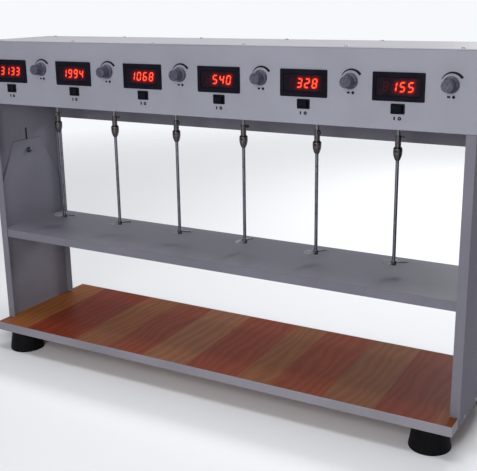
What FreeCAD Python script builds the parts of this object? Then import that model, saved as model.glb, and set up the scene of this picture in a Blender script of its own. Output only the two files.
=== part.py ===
import FreeCAD, Part
import math
import os
import re
import Sketcher

# Six place jar tester. Millimetres, +Z up, front towards -Y. The origin lies on the bench under the middle
# of the board.

SIZES = {
    # Frame: two folded side panels on a board with rubber feet
    "frame_width": 940.0,
    "frame_depth": 182.0,
    "sheet": 1.5,
    "flange": 15.5,
    "bend": 1.2,
    "seam": 0.25,
    "board_thickness": 16.0,
    "board_front": 34.0,
    "board_rear": 50.0,
    "edge_band": 1.2,
    "foot_height": 42.0,
    "foot_bottom_radius": 34.0,
    "foot_top_radius": 27.0,
    "foot_inset_side": 45.0,
    "foot_inset_end": 34.0,
    "foot_recess_radius": 9.0,
    "foot_recess_depth": 24.0,
    "foot_screw_radius": 2.4,
    "foot_screw_bite": 11.0,
    "foot_screw_head_radius": 6.0,
    "foot_screw_head_height": 3.0,
    # Head: fascia, lid, rear wall and the plate that carries the motors
    "post_height": 439.0,
    "head_height": 118.0,
    "rear_drop": 49.0,
    "lid_sheet": 1.2,
    "return_flange": 22.0,
    "motor_plate_sheet": 2.0,
    "plate_lip": 12.0,
    # Shelf with its two upright ears
    "shelf_height": 187.6,
    "shelf_lip": 15.4,
    "shelf_side_gap": 0.6,
    "ear_height": 168.0,
    "ear_shoulder": 74.0,
    "ear_top_width": 78.0,
    "ear_hole_height": 146.0,
    "ear_inset": 2.0,
    "slot_top": 380.0,
    "slot_length": 160.0,
    "slot_width": 6.6,
    "outside_gap": 0.3,
    # Stations
    "meter_first": 62.6,
    "meter_last": 117.4,
    "meter_height": 62.8,
    "spindle_first": 89.6,
    "spindle_last": 146.9,
    "spindle_setback": 91.0,
    "cutout_fit": 0.1,
    # Panel meter
    "meter_width": 79.6,
    "meter_tall": 42.0,
    "meter_proud": 2.2,
    "meter_body_width": 75.6,
    "meter_body_tall": 38.0,
    "meter_depth": 52.0,
    "window_width": 68.0,
    "window_tall": 28.0,
    "window_recess": 1.0,
    "window_thickness": 1.4,
    # Rocker switch
    "switch_height": 31.0,
    "switch_width": 21.4,
    "switch_tall": 15.0,
    "switch_proud": 1.8,
    "switch_body_width": 18.8,
    "switch_body_tall": 12.6,
    "switch_depth": 12.0,
    "switch_wall": 1.3,
    "rocker_tilt": 8.0,
    "rocker_gap": 0.45,
    "rocker_rise": 1.6,
    "rocker_dish": 1.1,
    "rocker_pivot_depth": 1.2,
    "rocker_corner": 0.5,
    "rocker_back": 2.6,
    "rocker_heel": 2.0,
    "rocker_pin_radius": 0.8,
    "rocker_pin_bite": 0.6,
    "rocker_pin_hole": 0.8,
    "running_fit": 0.05,
    # Speed knob and its potentiometer
    "knob_offset": 76.8,
    "knob_height": 68.6,
    "knob_skirt_radius": 12.1,
    "knob_skirt_thickness": 4.6,
    "knob_bevel": 1.8,
    "knob_bevel_height": 2.8,
    "knob_grip_radius": 9.3,
    "knob_length": 21.0,
    "knob_lift": 0.4,
    "knob_flutes": 18,
    "knob_flute_depth": 0.65,
    "knob_draft": 0.3,
    "knob_edge": 0.9,
    "knob_step": 0.4,
    "knob_recess_radius": 7.4,
    "knob_recess_depth": 2.8,
    "control_shaft_radius": 3.0,
    "control_shaft_grip": 12.0,
    "control_shaft_depth": 5.7,
    "control_body_radius": 12.0,
    "control_body_depth": 9.5,
    "control_bore_depth": 6.7,
    "control_bush_radius": 3.8,
    "control_nut_radius": 6.0,
    "control_nut_height": 2.0,
    "board_wide": 34.0,
    "board_tall": 50.0,
    "board_sheet": 1.6,
    "chip_offset": 8.0,
    "chip_rise": 12.0,
    "capacitor_radius": 5.0,
    "capacitor_length": 14.0,
    "driver_width": 14.0,
    "driver_depth": 9.0,
    "driver_tall": 18.0,
    # Motor and spindle
    "motor_radius": 23.0,
    "motor_length": 64.0,
    "motor_cap_radius": 14.0,
    "motor_cap_height": 5.0,
    "motor_boss_radius": 8.0,
    "motor_boss_drop": 3.0,
    "motor_screw_circle": 16.0,
    "shaft_radius": 3.15,
    "shaft_in_motor": 30.0,
    "shaft_in_collar": 15.0,
    "chuck_drop": 24.5,
    "collar_radius": 4.9,
    "collar_length": 18.5,
    "collar_edge": 0.7,
    "chuck_radius": 7.3,
    "shoulder_radius": 5.7,
    "shoulder_length": 2.4,
    "barrel_length": 7.1,
    "chuck_chamber": 1.0,
    "nose_length": 12.1,
    "nose_upper_drop": 4.0,
    "nose_upper_radius": 6.8,
    "nose_lower_drop": 8.6,
    "nose_lower_radius": 5.3,
    "nose_radius": 3.8,
    "grip_fit": 0.02,
    "key_hole_radius": 1.3,
    "thumb_screw_radius": 3.0,
    "thumb_screw_head": 5.0,
    "thumb_stem_radius": 1.4,
    "thumb_screw_drop": 4.0,
    "thumb_screw_gap": 0.4,
    "thumb_screw_edge": 0.6,
    # Stirrer rod with its two bladed impeller
    "rod_radius": 2.9,
    "rod_in_chuck": 20.0,
    "hub_radius": 4.4,
    "hub_length": 9.0,
    "blade_span": 46.0,
    "blade_width": 11.0,
    "blade_thickness": 1.2,
    "blade_pitch": 32.0,
    # Screws
    "lid_screw_inset": 15.0,
    "lid_screw_margin": 30.0,
    "lid_screw_count": 6,
    "end_screw_inset": 11.0,
    "end_screw_height": 85.0,
    "tray_screw_inset": 55.0,
    "board_screw_inset": 27.0,
    "plate_screw_margin": 56.0,
    "plate_screw_count": 4,
    "screw_radius": 1.5,
    "screw_head_radius": 3.2,
    "screw_crown_radius": 2.3,
    "screw_head_height": 1.8,
    "screw_length": 9.0,
    "wood_screw_length": 18.0,
    "clamp_radius": 3.0,
    "clamp_head_radius": 5.4,
    "clamp_crown_radius": 4.6,
    "clamp_head_height": 7.0,
    "clamp_drive_width": 1.4,
    "clamp_drive_depth": 1.5,
    "clamp_end": 1.0,
    "backing_width": 20.0,
    "backing_tall": 112.0,
    "backing_sheet": 1.5,
    "clamp_nut_radius": 5.8,
    "clamp_nut_height": 5.0,
    # Mains parts in the right hand end of the head
    "transformer_width": 62.0,
    "transformer_depth": 26.0,
    "transformer_tall": 48.0,
    "coil_width": 34.0,
    "coil_depth": 52.0,
    "coil_tall": 29.0,
    "transformer_inset": 26.0,
    "inlet_width": 48.0,
    "inlet_tall": 28.0,
    "inlet_flange": 3.0,
    "inlet_body_width": 28.0,
    "inlet_body_tall": 21.0,
    "inlet_depth": 24.0,
    "inlet_wall": 2.0,
    "inlet_floor": 4.0,
    "inlet_pin_length": 16.0,
    "inlet_pin_sheet": 2.0,
    "inlet_pin_tall": 4.0,
    "inlet_pin_spacing": 7.0,
    "inlet_pin_rise": 2.0,
    "inlet_inset": 60.0,
    "inlet_height": 60.0,
}

# Height of each stirrer's tip over the shelf, its turn about the rod, and the side its thumb screw faces
STIRRER_TIPS = [14.0, 15.0, 14.0, 14.0, 13.0, 14.0]
STIRRER_TURNS = [15.0, 40.0, 22.0, 75.0, 52.0, 28.0]
THUMB_SCREW_TURNS = [-70.0, 20.0, -25.0, 60.0, -40.0, 5.0]

SIZES["stations"] = len(STIRRER_TIPS)
for number in range(len(STIRRER_TIPS)):
    SIZES[f"tip_height_{number + 1}"] = STIRRER_TIPS[number]
    SIZES[f"stirrer_turn_{number + 1}"] = STIRRER_TURNS[number]
    SIZES[f"thumb_turn_{number + 1}"] = THUMB_SCREW_TURNS[number]

doc = FreeCAD.newDocument("jar_tester")
sheet = doc.addObject("Spreadsheet::Sheet", "Sizes")
for row, (alias, value) in enumerate(SIZES.items(), start=1):
    sheet.set(f"A{row}", alias)
    sheet.set(f"B{row}", str(value))
    sheet.setAlias(f"B{row}", alias)
doc.recompute()

STATIONS = range(1, int(sheet.stations) + 1)
# Tests for an edge to round: how near it lies to a face, how well it runs along an axis, its least length
ON_FACE = 0.01
ALONG_AXIS = 0.99
LEAST_EDGE = 20.0
X_AXIS = FreeCAD.Vector(1, 0, 0)
Y_AXIS = FreeCAD.Vector(0, 1, 0)
Z_AXIS = FreeCAD.Vector(0, 0, 1)
# Turns that lay a shape built along +Z down along another axis
ALONG = {
    "+X": FreeCAD.Rotation(Y_AXIS, 90),
    "-X": FreeCAD.Rotation(Y_AXIS, -90),
    "+Y": FreeCAD.Rotation(X_AXIS, -90),
    "-Y": FreeCAD.Rotation(X_AXIS, 90),
    "+Z": FreeCAD.Rotation(),
    "-Z": FreeCAD.Rotation(X_AXIS, 180),
}

# Levels and planes that several pieces share, each worked out from the sheet
BOARD_TOP = "(foot_height + board_thickness)"
FASCIA_BOTTOM = f"({BOARD_TOP} + post_height)"
HEAD_TOP = f"({FASCIA_BOTTOM} + head_height)"
LID_UNDER = f"({HEAD_TOP} - lid_sheet)"
REAR_BOTTOM = f"({FASCIA_BOTTOM} - rear_drop)"
FRONT = "((board_front - board_rear - frame_depth) / 2)"
REAR = f"({FRONT} + frame_depth)"
BOARD_DEPTH = "(frame_depth + board_front + board_rear)"
SPINDLE_Y = f"({FRONT} + spindle_setback)"
SHELF_TOP = f"({BOARD_TOP} + shelf_height)"
EAR_HOLE = f"({SHELF_TOP} + ear_hole_height)"
PLATE_BOTTOM = f"({FASCIA_BOTTOM} + sheet)"
PLATE_TOP = f"({PLATE_BOTTOM} + motor_plate_sheet)"
CHUCK_TOP = f"({PLATE_BOTTOM} - chuck_drop)"
THUMB_Z = f"({CHUCK_TOP} - thumb_screw_drop)"
INSIDE = "(frame_width / 2 - sheet)"
OUTSIDE = "(frame_width / 2 + outside_gap)"

parts = {}


def bound(text):
    """Writes an expression with each size named in full, as a cell of the sheet."""
    return re.sub(r"[a-z][a-z0-9_]*", lambda word: f"Sizes.{word.group()}" if word.group() in SIZES
                  else word.group(), str(text))


def place(obj, x="0", y="0", z="0", along="+Z", turn=None):
    """Puts an object's own origin at x, y, z and lays its +Z along the named axis."""
    obj.Placement = FreeCAD.Placement(FreeCAD.Vector(), ALONG[along])
    for axis, text in zip("xyz", (x, y, z)):
        obj.setExpression(f"Placement.Base.{axis}", bound(text))
    if turn is not None:
        obj.setExpression("Placement.Rotation.Angle", bound(turn))
    return obj


def box(name, long, deep, tall, x, y, z):
    """A box from its low corner."""
    obj = doc.addObject("Part::Box", name)
    for side, text in (("Length", long), ("Width", deep), ("Height", tall)):
        obj.setExpression(side, bound(text))
    return place(obj, x, y, z)


def middle_box(name, long, deep, tall, x, y, z):
    """A box centred on x and z, with y as its front face."""
    return box(name, long, deep, tall, f"{x} - ({long}) / 2", y, f"{z} - ({tall}) / 2")


def rod(name, radius, length, x, y, z, along="+Z"):
    """A round bar that starts at x, y, z."""
    obj = doc.addObject("Part::Cylinder", name)
    obj.setExpression("Radius", bound(radius))
    obj.setExpression("Height", bound(length))
    return place(obj, x, y, z, along)


def cone(name, first, second, length, x, y, z, along="+Z"):
    """A tapered round bar that starts at x, y, z."""
    obj = doc.addObject("Part::Cone", name)
    obj.setExpression("Radius1", bound(first))
    obj.setExpression("Radius2", bound(second))
    obj.setExpression("Height", bound(length))
    return place(obj, x, y, z, along)


def hexagon(name, radius, length, x, y, z, along="+Z"):
    """A six sided bar, for nuts."""
    obj = doc.addObject("Part::Prism", name)
    obj.Polygon = 6
    obj.setExpression("Circumradius", bound(radius))
    obj.setExpression("Height", bound(length))
    return place(obj, x, y, z, along)


def fuse(name, pieces):
    obj = doc.addObject("Part::MultiFuse", name)
    obj.Shapes = pieces
    obj.Refine = True
    return obj


def group(name, pieces):
    """Separate solids kept together, for like pieces and for cutting many holes at once."""
    obj = doc.addObject("Part::Compound", name)
    obj.Links = pieces
    return obj


def cut(name, base, tools):
    obj = doc.addObject("Part::Cut", name)
    obj.Base = base
    obj.Tool = tools[0] if len(tools) == 1 else group(f"{name}_tools", tools)
    return obj


def subpart(node, obj):
    """Names a finished object as a piece of the jar tester."""
    obj.Label = node
    parts[node] = obj
    return obj


def round_edges(name, base, radius, wanted):
    """Rounds the edges of a folded sheet for which wanted(middle, direction, box) holds."""
    doc.recompute()
    extent = base.Shape.BoundBox
    found = []
    for number, edge in enumerate(base.Shape.Edges, start=1):
        if edge.Curve.TypeId != "Part::GeomLine" or edge.Length < LEAST_EDGE:
            continue
        ends = edge.Vertexes[1].Point - edge.Vertexes[0].Point
        if wanted(edge.CenterOfMass, ends.normalize(), extent):
            found.append((number, radius, radius))
    obj = doc.addObject("Part::Fillet", name)
    obj.Base = base
    obj.Edges = found
    return obj


def polygon_sketch(body, name, role, corners):
    """A closed outline in one of the body's own planes, each corner tied to the sheet."""
    sketch = body.newObject("Sketcher::SketchObject", name)
    plane = [item for item in body.Origin.OriginFeatures if item.Role == role][0]
    sketch.AttachmentSupport = [(plane, "")]
    sketch.MapMode = "FlatFace"
    count = len(corners)
    ring = [FreeCAD.Vector(math.cos(2 * math.pi * step / count), math.sin(2 * math.pi * step / count), 0)
            for step in range(count)]
    for step in range(count):
        sketch.addGeometry(Part.LineSegment(ring[step], ring[(step + 1) % count]), False)
    for step in range(count):
        sketch.addConstraint(Sketcher.Constraint("Coincident", step, 2, (step + 1) % count, 1))
    for step, (across, up) in enumerate(corners):
        for kind, text in (("DistanceX", across), ("DistanceY", up)):
            number = sketch.addConstraint(Sketcher.Constraint(kind, -1, 1, step, 1, 1.0))
            sketch.setExpression(f"Constraints[{number}]", bound(text))
    return sketch


def circle_sketch(body, name, role, radius, across, up):
    """A circle in one of the body's own planes, its centre and radius tied to the sheet."""
    sketch = body.newObject("Sketcher::SketchObject", name)
    plane = [item for item in body.Origin.OriginFeatures if item.Role == role][0]
    sketch.AttachmentSupport = [(plane, "")]
    sketch.MapMode = "FlatFace"
    sketch.addGeometry(Part.Circle(FreeCAD.Vector(1, 1, 0), Z_AXIS, 1.0), False)
    rules = (
        (Sketcher.Constraint("Radius", 0, 1.0), radius),
        (Sketcher.Constraint("DistanceX", -1, 1, 0, 3, 1.0), across),
        (Sketcher.Constraint("DistanceY", -1, 1, 0, 3, 1.0), up),
    )
    for constraint, text in rules:
        number = sketch.addConstraint(constraint)
        sketch.setExpression(f"Constraints[{number}]", bound(text))
    return sketch


def revolve(body, name, sketch):
    """Turns an outline in the XZ plane about the body's own Z axis."""
    feature = body.newObject("PartDesign::Revolution", name)
    feature.Profile = sketch
    feature.ReferenceAxis = (sketch, ["V_Axis"])
    feature.Angle = 360.0
    return feature


CASE_SCREW = ("screw_radius", "screw_head_radius", "screw_crown_radius", "screw_head_height")
FOOT_SCREW = ("foot_screw_radius", "foot_screw_head_radius", "foot_screw_head_radius",
              "foot_screw_head_height")
BACK = {"+X": "-X", "-X": "+X", "+Y": "-Y", "-Y": "+Y", "+Z": "-Z", "-Z": "+Z"}


def pan_screw(name, x, y, z, along, shank, sizes=CASE_SCREW):
    """A pan head screw whose head stands on x, y, z and whose shank runs from there along the named axis."""
    shank_radius, head_radius, crown_radius, head_height = sizes
    bar = rod(f"{name}_shank", shank_radius, shank, x, y, z, along)
    head = cone(f"{name}_head", head_radius, crown_radius, head_height, x, y, z, BACK[along])
    return fuse(name, [bar, head])


# Board: faced chipboard with a plastic edging band, drilled for its screws
board_ends = "(frame_width - 2 * sheet - 2 * edge_band)"
board_blank = box("board_blank", board_ends, f"{BOARD_DEPTH} - 2 * edge_band", "board_thickness",
                  f"0 - {board_ends} / 2", f"0 - {BOARD_DEPTH} / 2 + edge_band", "foot_height")
foot_x = "(frame_width / 2 - foot_inset_side)"
foot_y = f"({BOARD_DEPTH} / 2 - foot_inset_end)"
SIGNS = ("0 -", "0 +")
foot_spots = [(f"{x_sign} {foot_x}", f"{y_sign} {foot_y}") for x_sign in SIGNS for y_sign in SIGNS]
foot_shank = "(foot_height - foot_recess_depth + foot_screw_bite)"
board_screw_y = [f"({FRONT} + board_screw_inset)", f"({FRONT} + frame_depth / 2)",
                 f"({REAR} - board_screw_inset)"]
board_middle = "(foot_height + board_thickness / 2)"
board_holes = []
for number, (x, y) in enumerate(foot_spots, start=1):
    board_holes.append(rod(f"foot_hole_{number}", "foot_screw_radius", foot_shank, x, y,
                           "foot_recess_depth"))
for side, sign, along in (("left", "0 -", "+X"), ("right", "0 +", "-X")):
    for number, y in enumerate(board_screw_y, start=1):
        board_holes.append(rod(f"{side}_board_hole_{number}", "screw_radius", "wood_screw_length",
                               f"{sign} frame_width / 2", y, board_middle, along))
subpart("base_board", cut("board_drilled", board_blank, board_holes))

# Edging band round the four edges of the board
band_length = "(frame_width - 2 * sheet)"
band_strips = []
for number, y in enumerate((f"0 - {BOARD_DEPTH} / 2", f"{BOARD_DEPTH} / 2 - edge_band"), start=1):
    band_strips.append(box(f"long_band_{number}", band_length, "edge_band", "board_thickness",
                           f"0 - {band_length} / 2", y, "foot_height"))
for side, x in (("left", f"0 - {band_length} / 2"), ("right", f"{band_length} / 2 - edge_band")):
    strip = box(f"{side}_band_blank", "edge_band", f"{BOARD_DEPTH} - 2 * edge_band", "board_thickness",
                x, f"0 - {BOARD_DEPTH} / 2 + edge_band", "foot_height")
    holes = [rod(f"{side}_band_hole_{number}", "screw_radius", "wood_screw_length",
                 f"{'0 -' if side == 'left' else '0 +'} frame_width / 2", y, board_middle,
                 "+X" if side == "left" else "-X") for number, y in enumerate(board_screw_y, start=1)]
    band_strips.append(cut(f"{side}_band", strip, holes))
subpart("edge_band", group("edge_band_strips", band_strips))

# Rubber feet: tapered, wider at the bench, each with a deep recess for its screw
feet = []
foot_screws = []
for number, (x, y) in enumerate(foot_spots, start=1):
    blank = cone(f"foot_blank_{number}", "foot_bottom_radius", "foot_top_radius", "foot_height", x, y, "0")
    recess = rod(f"foot_recess_{number}", "foot_recess_radius", "foot_recess_depth", x, y, "0")
    through = rod(f"foot_through_{number}", "foot_screw_radius", "foot_height", x, y, "0")
    feet.append(cut(f"foot_{number}", blank, [recess, through]))
    foot_screws.append(pan_screw(f"foot_screw_{number}", x, y, "foot_recess_depth", "+Z", foot_shank,
                                 FOOT_SCREW))
subpart("rubber_feet", group("feet", feet))
subpart("foot_screws", group("foot_screw_set", foot_screws))


# Side panels: tall folded channels that overlap the ends of the board and close the ends of the head
def side_x(side, depth, width="0"):
    """The low x of a slab that starts depth inside the outer face of a side panel."""
    if side == "left":
        return f"(0 - frame_width / 2 + ({depth}))"
    return f"(frame_width / 2 - ({depth}) - ({width}))"


head_screw_spots = [
    (f"({FRONT} + end_screw_inset)", f"({FASCIA_BOTTOM} + end_screw_height)"),
    (f"({REAR} - end_screw_inset)", f"({FASCIA_BOTTOM} + end_screw_height)"),
    (f"({FRONT} + tray_screw_inset)", f"({PLATE_TOP} + plate_lip / 2)"),
    (f"({REAR} - tray_screw_inset)", f"({PLATE_TOP} + plate_lip / 2)"),
]
case_screws = []
for side in ("left", "right"):
    inward = "+X" if side == "left" else "-X"
    outer = side_x(side, "0")
    web = box(f"{side}_web", "sheet", "frame_depth - 2 * sheet", f"{LID_UNDER} - foot_height",
              side_x(side, "0", "sheet"), f"{FRONT} + sheet", "foot_height")
    front_flange = box(f"{side}_front_flange", "flange", "sheet", "post_height - seam",
                       side_x(side, "0", "flange"), FRONT, BOARD_TOP)
    rear_flange = box(f"{side}_rear_flange", "flange", "sheet", "post_height - rear_drop - seam",
                      side_x(side, "0", "flange"), f"{REAR} - sheet", BOARD_TOP)
    folded = fuse(f"{side}_folded", [web, front_flange, rear_flange])
    outermost = -1 if side == "left" else 1

    def outer_corner(middle, direction, extent, outermost=outermost):
        edge_x = extent.XMin if outermost < 0 else extent.XMax
        at_side = abs(middle.x - edge_x) < ON_FACE
        at_end = min(abs(middle.y - extent.YMin), abs(middle.y - extent.YMax)) < ON_FACE
        return at_side and at_end and abs(direction.z) > ALONG_AXIS

    bent = round_edges(f"{side}_bent", folded, float(sheet.bend), outer_corner)
    slot_bottom = f"({BOARD_TOP} + slot_top - slot_length + slot_width / 2)"
    slot_high = f"({BOARD_TOP} + slot_top - slot_width / 2)"
    openings = [
        box(f"{side}_slot", "3 * sheet", "slot_width", "slot_length - slot_width",
            side_x(side, "0 - sheet", "3 * sheet"), f"{SPINDLE_Y} - slot_width / 2", slot_bottom),
        rod(f"{side}_slot_low", "slot_width / 2", "3 * sheet", side_x(side, "0 - sheet", "3 * sheet"),
            SPINDLE_Y, slot_bottom, "+X"),
        rod(f"{side}_slot_high", "slot_width / 2", "3 * sheet", side_x(side, "0 - sheet", "3 * sheet"),
            SPINDLE_Y, slot_high, "+X"),
    ]
    slot_tool = fuse(f"{side}_slot_shape", openings)
    holes = [slot_tool]
    spots = [(y, board_middle, "wood_screw_length") for y in board_screw_y]
    spots += [(y, z, "screw_length") for y, z in head_screw_spots]
    for number, (y, z, length) in enumerate(spots, start=1):
        holes.append(rod(f"{side}_panel_hole_{number}", "screw_radius", length, outer, y, z, inward))
        case_screws.append(pan_screw(f"{side}_screw_{number}", outer, y, z, inward, length))
    subpart(f"{side}_side_panel", cut(f"{side}_panel", bent, holes))


# Fascia: one folded sheet over the full width, punched for meters, switches and controls
def station_x(first, last, station):
    """Stations stand evenly between a first margin at the left and a last margin at the right."""
    along = f"(frame_width - {first} - {last}) * {station - 1} / (stations - 1)"
    return f"(0 - frame_width / 2 + {first} + {along})"


METER_Z = f"({FASCIA_BOTTOM} + meter_height)"
SWITCH_Z = f"({FASCIA_BOTTOM} + switch_height)"
KNOB_Z = f"({FASCIA_BOTTOM} + knob_height)"


def meter_x(station):
    return station_x("meter_first", "meter_last", station)


def knob_x(station):
    return f"({meter_x(station)} + knob_offset)"


def spindle_x(station):
    return station_x("spindle_first", "spindle_last", station)


def evenly(margin, count):
    """Spots in a row over the width, with the same margin at both ends."""
    return [f"(0 - frame_width / 2 + {margin} + (frame_width - 2 * {margin}) * {number} / ({count} - 1))"
            for number in range(int(getattr(sheet, count)))]


LID_SCREW_X = evenly("lid_screw_margin", "lid_screw_count")
LID_SCREW_Y = [f"({FRONT} + lid_screw_inset)", f"({REAR} - lid_screw_inset)"]


def folded_wall(name, y, inner_y, bottom, foot_flange):
    """A wall of the head between bottom and the lid, with flanges folded inwards at its top and ends."""
    pieces = [
        box(f"{name}_face", "frame_width", "sheet", f"{LID_UNDER} - {bottom}", "0 - frame_width / 2", y,
            bottom),
        box(f"{name}_top_flange", f"2 * {INSIDE}", "return_flange", "sheet", f"0 - {INSIDE}", inner_y,
            f"{LID_UNDER} - sheet"),
    ]
    end_bottom = f"({PLATE_TOP} + plate_lip + 2 * sheet)"
    for side in ("left", "right"):
        pieces.append(box(f"{name}_{side}_flange", "sheet", "return_flange", f"{LID_UNDER} - {end_bottom}",
                          side_x(side, "sheet", "sheet"), inner_y, end_bottom))
    if foot_flange:
        pieces.append(box(f"{name}_foot_flange", f"2 * {INSIDE}", "return_flange", "sheet", f"0 - {INSIDE}",
                          inner_y, bottom))
    return fuse(f"{name}_folded", pieces)


def wall_holes(name, row):
    """Holes in a wall's top and end flanges for one row of lid screws and the side screws."""
    holes = [rod(f"{name}_lid_hole_{number}", "screw_radius", "screw_length", x, LID_SCREW_Y[row], HEAD_TOP,
                 "-Z") for number, x in enumerate(LID_SCREW_X, start=1)]
    for side in ("left", "right"):
        y, z = head_screw_spots[row]
        holes.append(rod(f"{name}_{side}_end_hole", "screw_radius", "screw_length", side_x(side, "0"), y, z,
                         "+X" if side == "left" else "-X"))
    return holes


fascia_folded = folded_wall("fascia", FRONT, f"{FRONT} + sheet", FASCIA_BOTTOM, True)
fascia_bent = round_edges(
    "fascia_bent", fascia_folded, float(sheet.bend),
    lambda middle, direction, extent: abs(direction.x) > ALONG_AXIS and abs(middle.y - extent.YMin) < ON_FACE
    and min(abs(middle.z - extent.ZMin), abs(middle.z - extent.ZMax)) < ON_FACE)
fascia_openings = wall_holes("fascia", 0)
for station in STATIONS:
    for kind, z in (("meter", METER_Z), ("switch", SWITCH_Z)):
        fascia_openings.append(middle_box(
            f"{kind}_hole_{station}", f"{kind}_body_width + 2 * cutout_fit", "3 * sheet",
            f"{kind}_body_tall + 2 * cutout_fit", meter_x(station), f"{FRONT} - sheet", z))
    fascia_openings.append(rod(f"control_hole_{station}", "control_bush_radius + cutout_fit", "3 * sheet",
                               knob_x(station), f"{FRONT} - sheet", KNOB_Z, "+Y"))
subpart("front_panel", cut("fascia", fascia_bent, fascia_openings))

# Rear wall: reaches lower than the fascia, and is punched for the mains inlet
INLET_X = "(frame_width / 2 - inlet_inset)"
INLET_Z = f"({FASCIA_BOTTOM} + inlet_height)"
rear_folded = folded_wall("rear_wall", f"{REAR} - sheet", f"{REAR} - sheet - return_flange", REAR_BOTTOM,
                          False)
rear_bent = round_edges(
    "rear_wall_bent", rear_folded, float(sheet.bend),
    lambda middle, direction, extent: abs(direction.x) > ALONG_AXIS and abs(middle.y - extent.YMax) < ON_FACE
    and abs(middle.z - extent.ZMax) < ON_FACE)
rear_openings = wall_holes("rear_wall", 1)
rear_openings.append(middle_box("inlet_hole", "inlet_body_width + 2 * cutout_fit", "3 * sheet",
                                "inlet_body_tall + 2 * cutout_fit", INLET_X, f"{REAR} - 2 * sheet", INLET_Z))
plate_screw_x = evenly("plate_screw_margin", "plate_screw_count")
plate_screw_z = f"({PLATE_BOTTOM} - plate_lip / 2)"
for number, x in enumerate(plate_screw_x, start=1):
    rear_openings.append(rod(f"rear_plate_hole_{number}", "screw_radius", "screw_length", x, REAR,
                             plate_screw_z, "-Y"))
subpart("rear_panel", cut("rear_wall", rear_bent, rear_openings))
case_screws += [pan_screw(f"rear_screw_{number}", x, REAR, plate_screw_z, "-Y", "screw_length")
                for number, x in enumerate(plate_screw_x, start=1)]
subpart("case_screws", group("case_screw_set", case_screws))

# Lid: a flat sheet over the whole head, padded from its outline and drilled in two rows
lid = doc.addObject("PartDesign::Body", "lid")
lid_outline = polygon_sketch(lid, "lid_outline", "XY_Plane", [
    ("0 - frame_width / 2", "0"), ("frame_width / 2", "0"),
    ("frame_width / 2", "frame_depth"), ("0 - frame_width / 2", "frame_depth")])
lid_pad = lid.newObject("PartDesign::Pad", "lid_pad")
lid_pad.Profile = lid_outline
lid_pad.setExpression("Length", bound("lid_sheet"))
doc.recompute()
lid_hole_sketch = circle_sketch(lid, "lid_hole", "XY_Plane", "screw_radius",
                                "0 - frame_width / 2 + lid_screw_margin", "lid_screw_inset")
lid_pocket = lid.newObject("PartDesign::Pocket", "lid_pocket")
lid_pocket.Profile = lid_hole_sketch
lid_pocket.Type = 1
lid_pocket.Reversed = True
doc.recompute()
lid_row = lid.newObject("PartDesign::LinearPattern", "lid_row")
lid_row.Originals = [lid_pocket]
lid_row.Direction = (lid_hole_sketch, ["H_Axis"])
lid_row.setExpression("Length", bound("frame_width - 2 * lid_screw_margin"))
lid_row.setExpression("Occurrences", bound("lid_screw_count"))
lid.Tip = lid_row
doc.recompute()
lid_rear_sketch = circle_sketch(lid, "lid_rear_hole", "XY_Plane", "screw_radius",
                                "0 - frame_width / 2 + lid_screw_margin", "frame_depth - lid_screw_inset")
lid_rear_pocket = lid.newObject("PartDesign::Pocket", "lid_rear_pocket")
lid_rear_pocket.Profile = lid_rear_sketch
lid_rear_pocket.Type = 1
lid_rear_pocket.Reversed = True
doc.recompute()
lid_rear_row = lid.newObject("PartDesign::LinearPattern", "lid_rear_row")
lid_rear_row.Originals = [lid_rear_pocket]
lid_rear_row.Direction = (lid_rear_sketch, ["H_Axis"])
lid_rear_row.setExpression("Length", bound("frame_width - 2 * lid_screw_margin"))
lid_rear_row.setExpression("Occurrences", bound("lid_screw_count"))
lid.Tip = lid_rear_row
subpart("top_cover", place(lid, "0", FRONT, LID_UNDER))
subpart("top_cover_screws", group("lid_screw_set", [
    pan_screw(f"lid_screw_{row}_{number}", x, y, HEAD_TOP, "-Z", "screw_length")
    for row, y in enumerate(LID_SCREW_Y, start=1) for number, x in enumerate(LID_SCREW_X, start=1)]))

# Motor plate: a tray between the side panels, on the fascia's lower flange and the rear wall
tray = [
    box("tray_floor", f"2 * {INSIDE}", "frame_depth - 2 * sheet", "motor_plate_sheet", f"0 - {INSIDE}",
        f"{FRONT} + sheet", PLATE_BOTTOM),
    box("tray_rear_lip", f"2 * {INSIDE}", "sheet", "plate_lip", f"0 - {INSIDE}", f"{REAR} - 2 * sheet",
        f"{PLATE_BOTTOM} - plate_lip"),
]
for side in ("left", "right"):
    tray.append(box(f"tray_{side}_lip", "sheet", "frame_depth - 2 * sheet", "plate_lip",
                    side_x(side, "sheet", "sheet"), f"{FRONT} + sheet", PLATE_TOP))
tray_folded = fuse("tray_folded", tray)
tray_holes = []
motor_screw_sides = (("-", "a"), ("+", "b"))
for station in STATIONS:
    tray_holes.append(rod(f"boss_hole_{station}", "motor_boss_radius + cutout_fit", "3 * motor_plate_sheet",
                          spindle_x(station), SPINDLE_Y, f"{PLATE_BOTTOM} - motor_plate_sheet"))
    for sign, letter in motor_screw_sides:
        screw_x = f"({spindle_x(station)} {sign} motor_screw_circle)"
        tray_holes.append(rod(f"motor_hole_{station}{letter}", "screw_radius", "screw_length", screw_x,
                              SPINDLE_Y, PLATE_BOTTOM))
for side in ("left", "right"):
    for number, (y, z) in enumerate(head_screw_spots[2:], start=1):
        tray_holes.append(rod(f"tray_{side}_hole_{number}", "screw_radius", "screw_length",
                              side_x(side, "0"), y, z, "+X" if side == "left" else "-X"))
for number, x in enumerate(plate_screw_x, start=1):
    tray_holes.append(rod(f"tray_rear_hole_{number}", "screw_radius", "screw_length", x, REAR, plate_screw_z,
                          "-Y"))
subpart("motor_plate", cut("tray", tray_folded, tray_holes))

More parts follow.
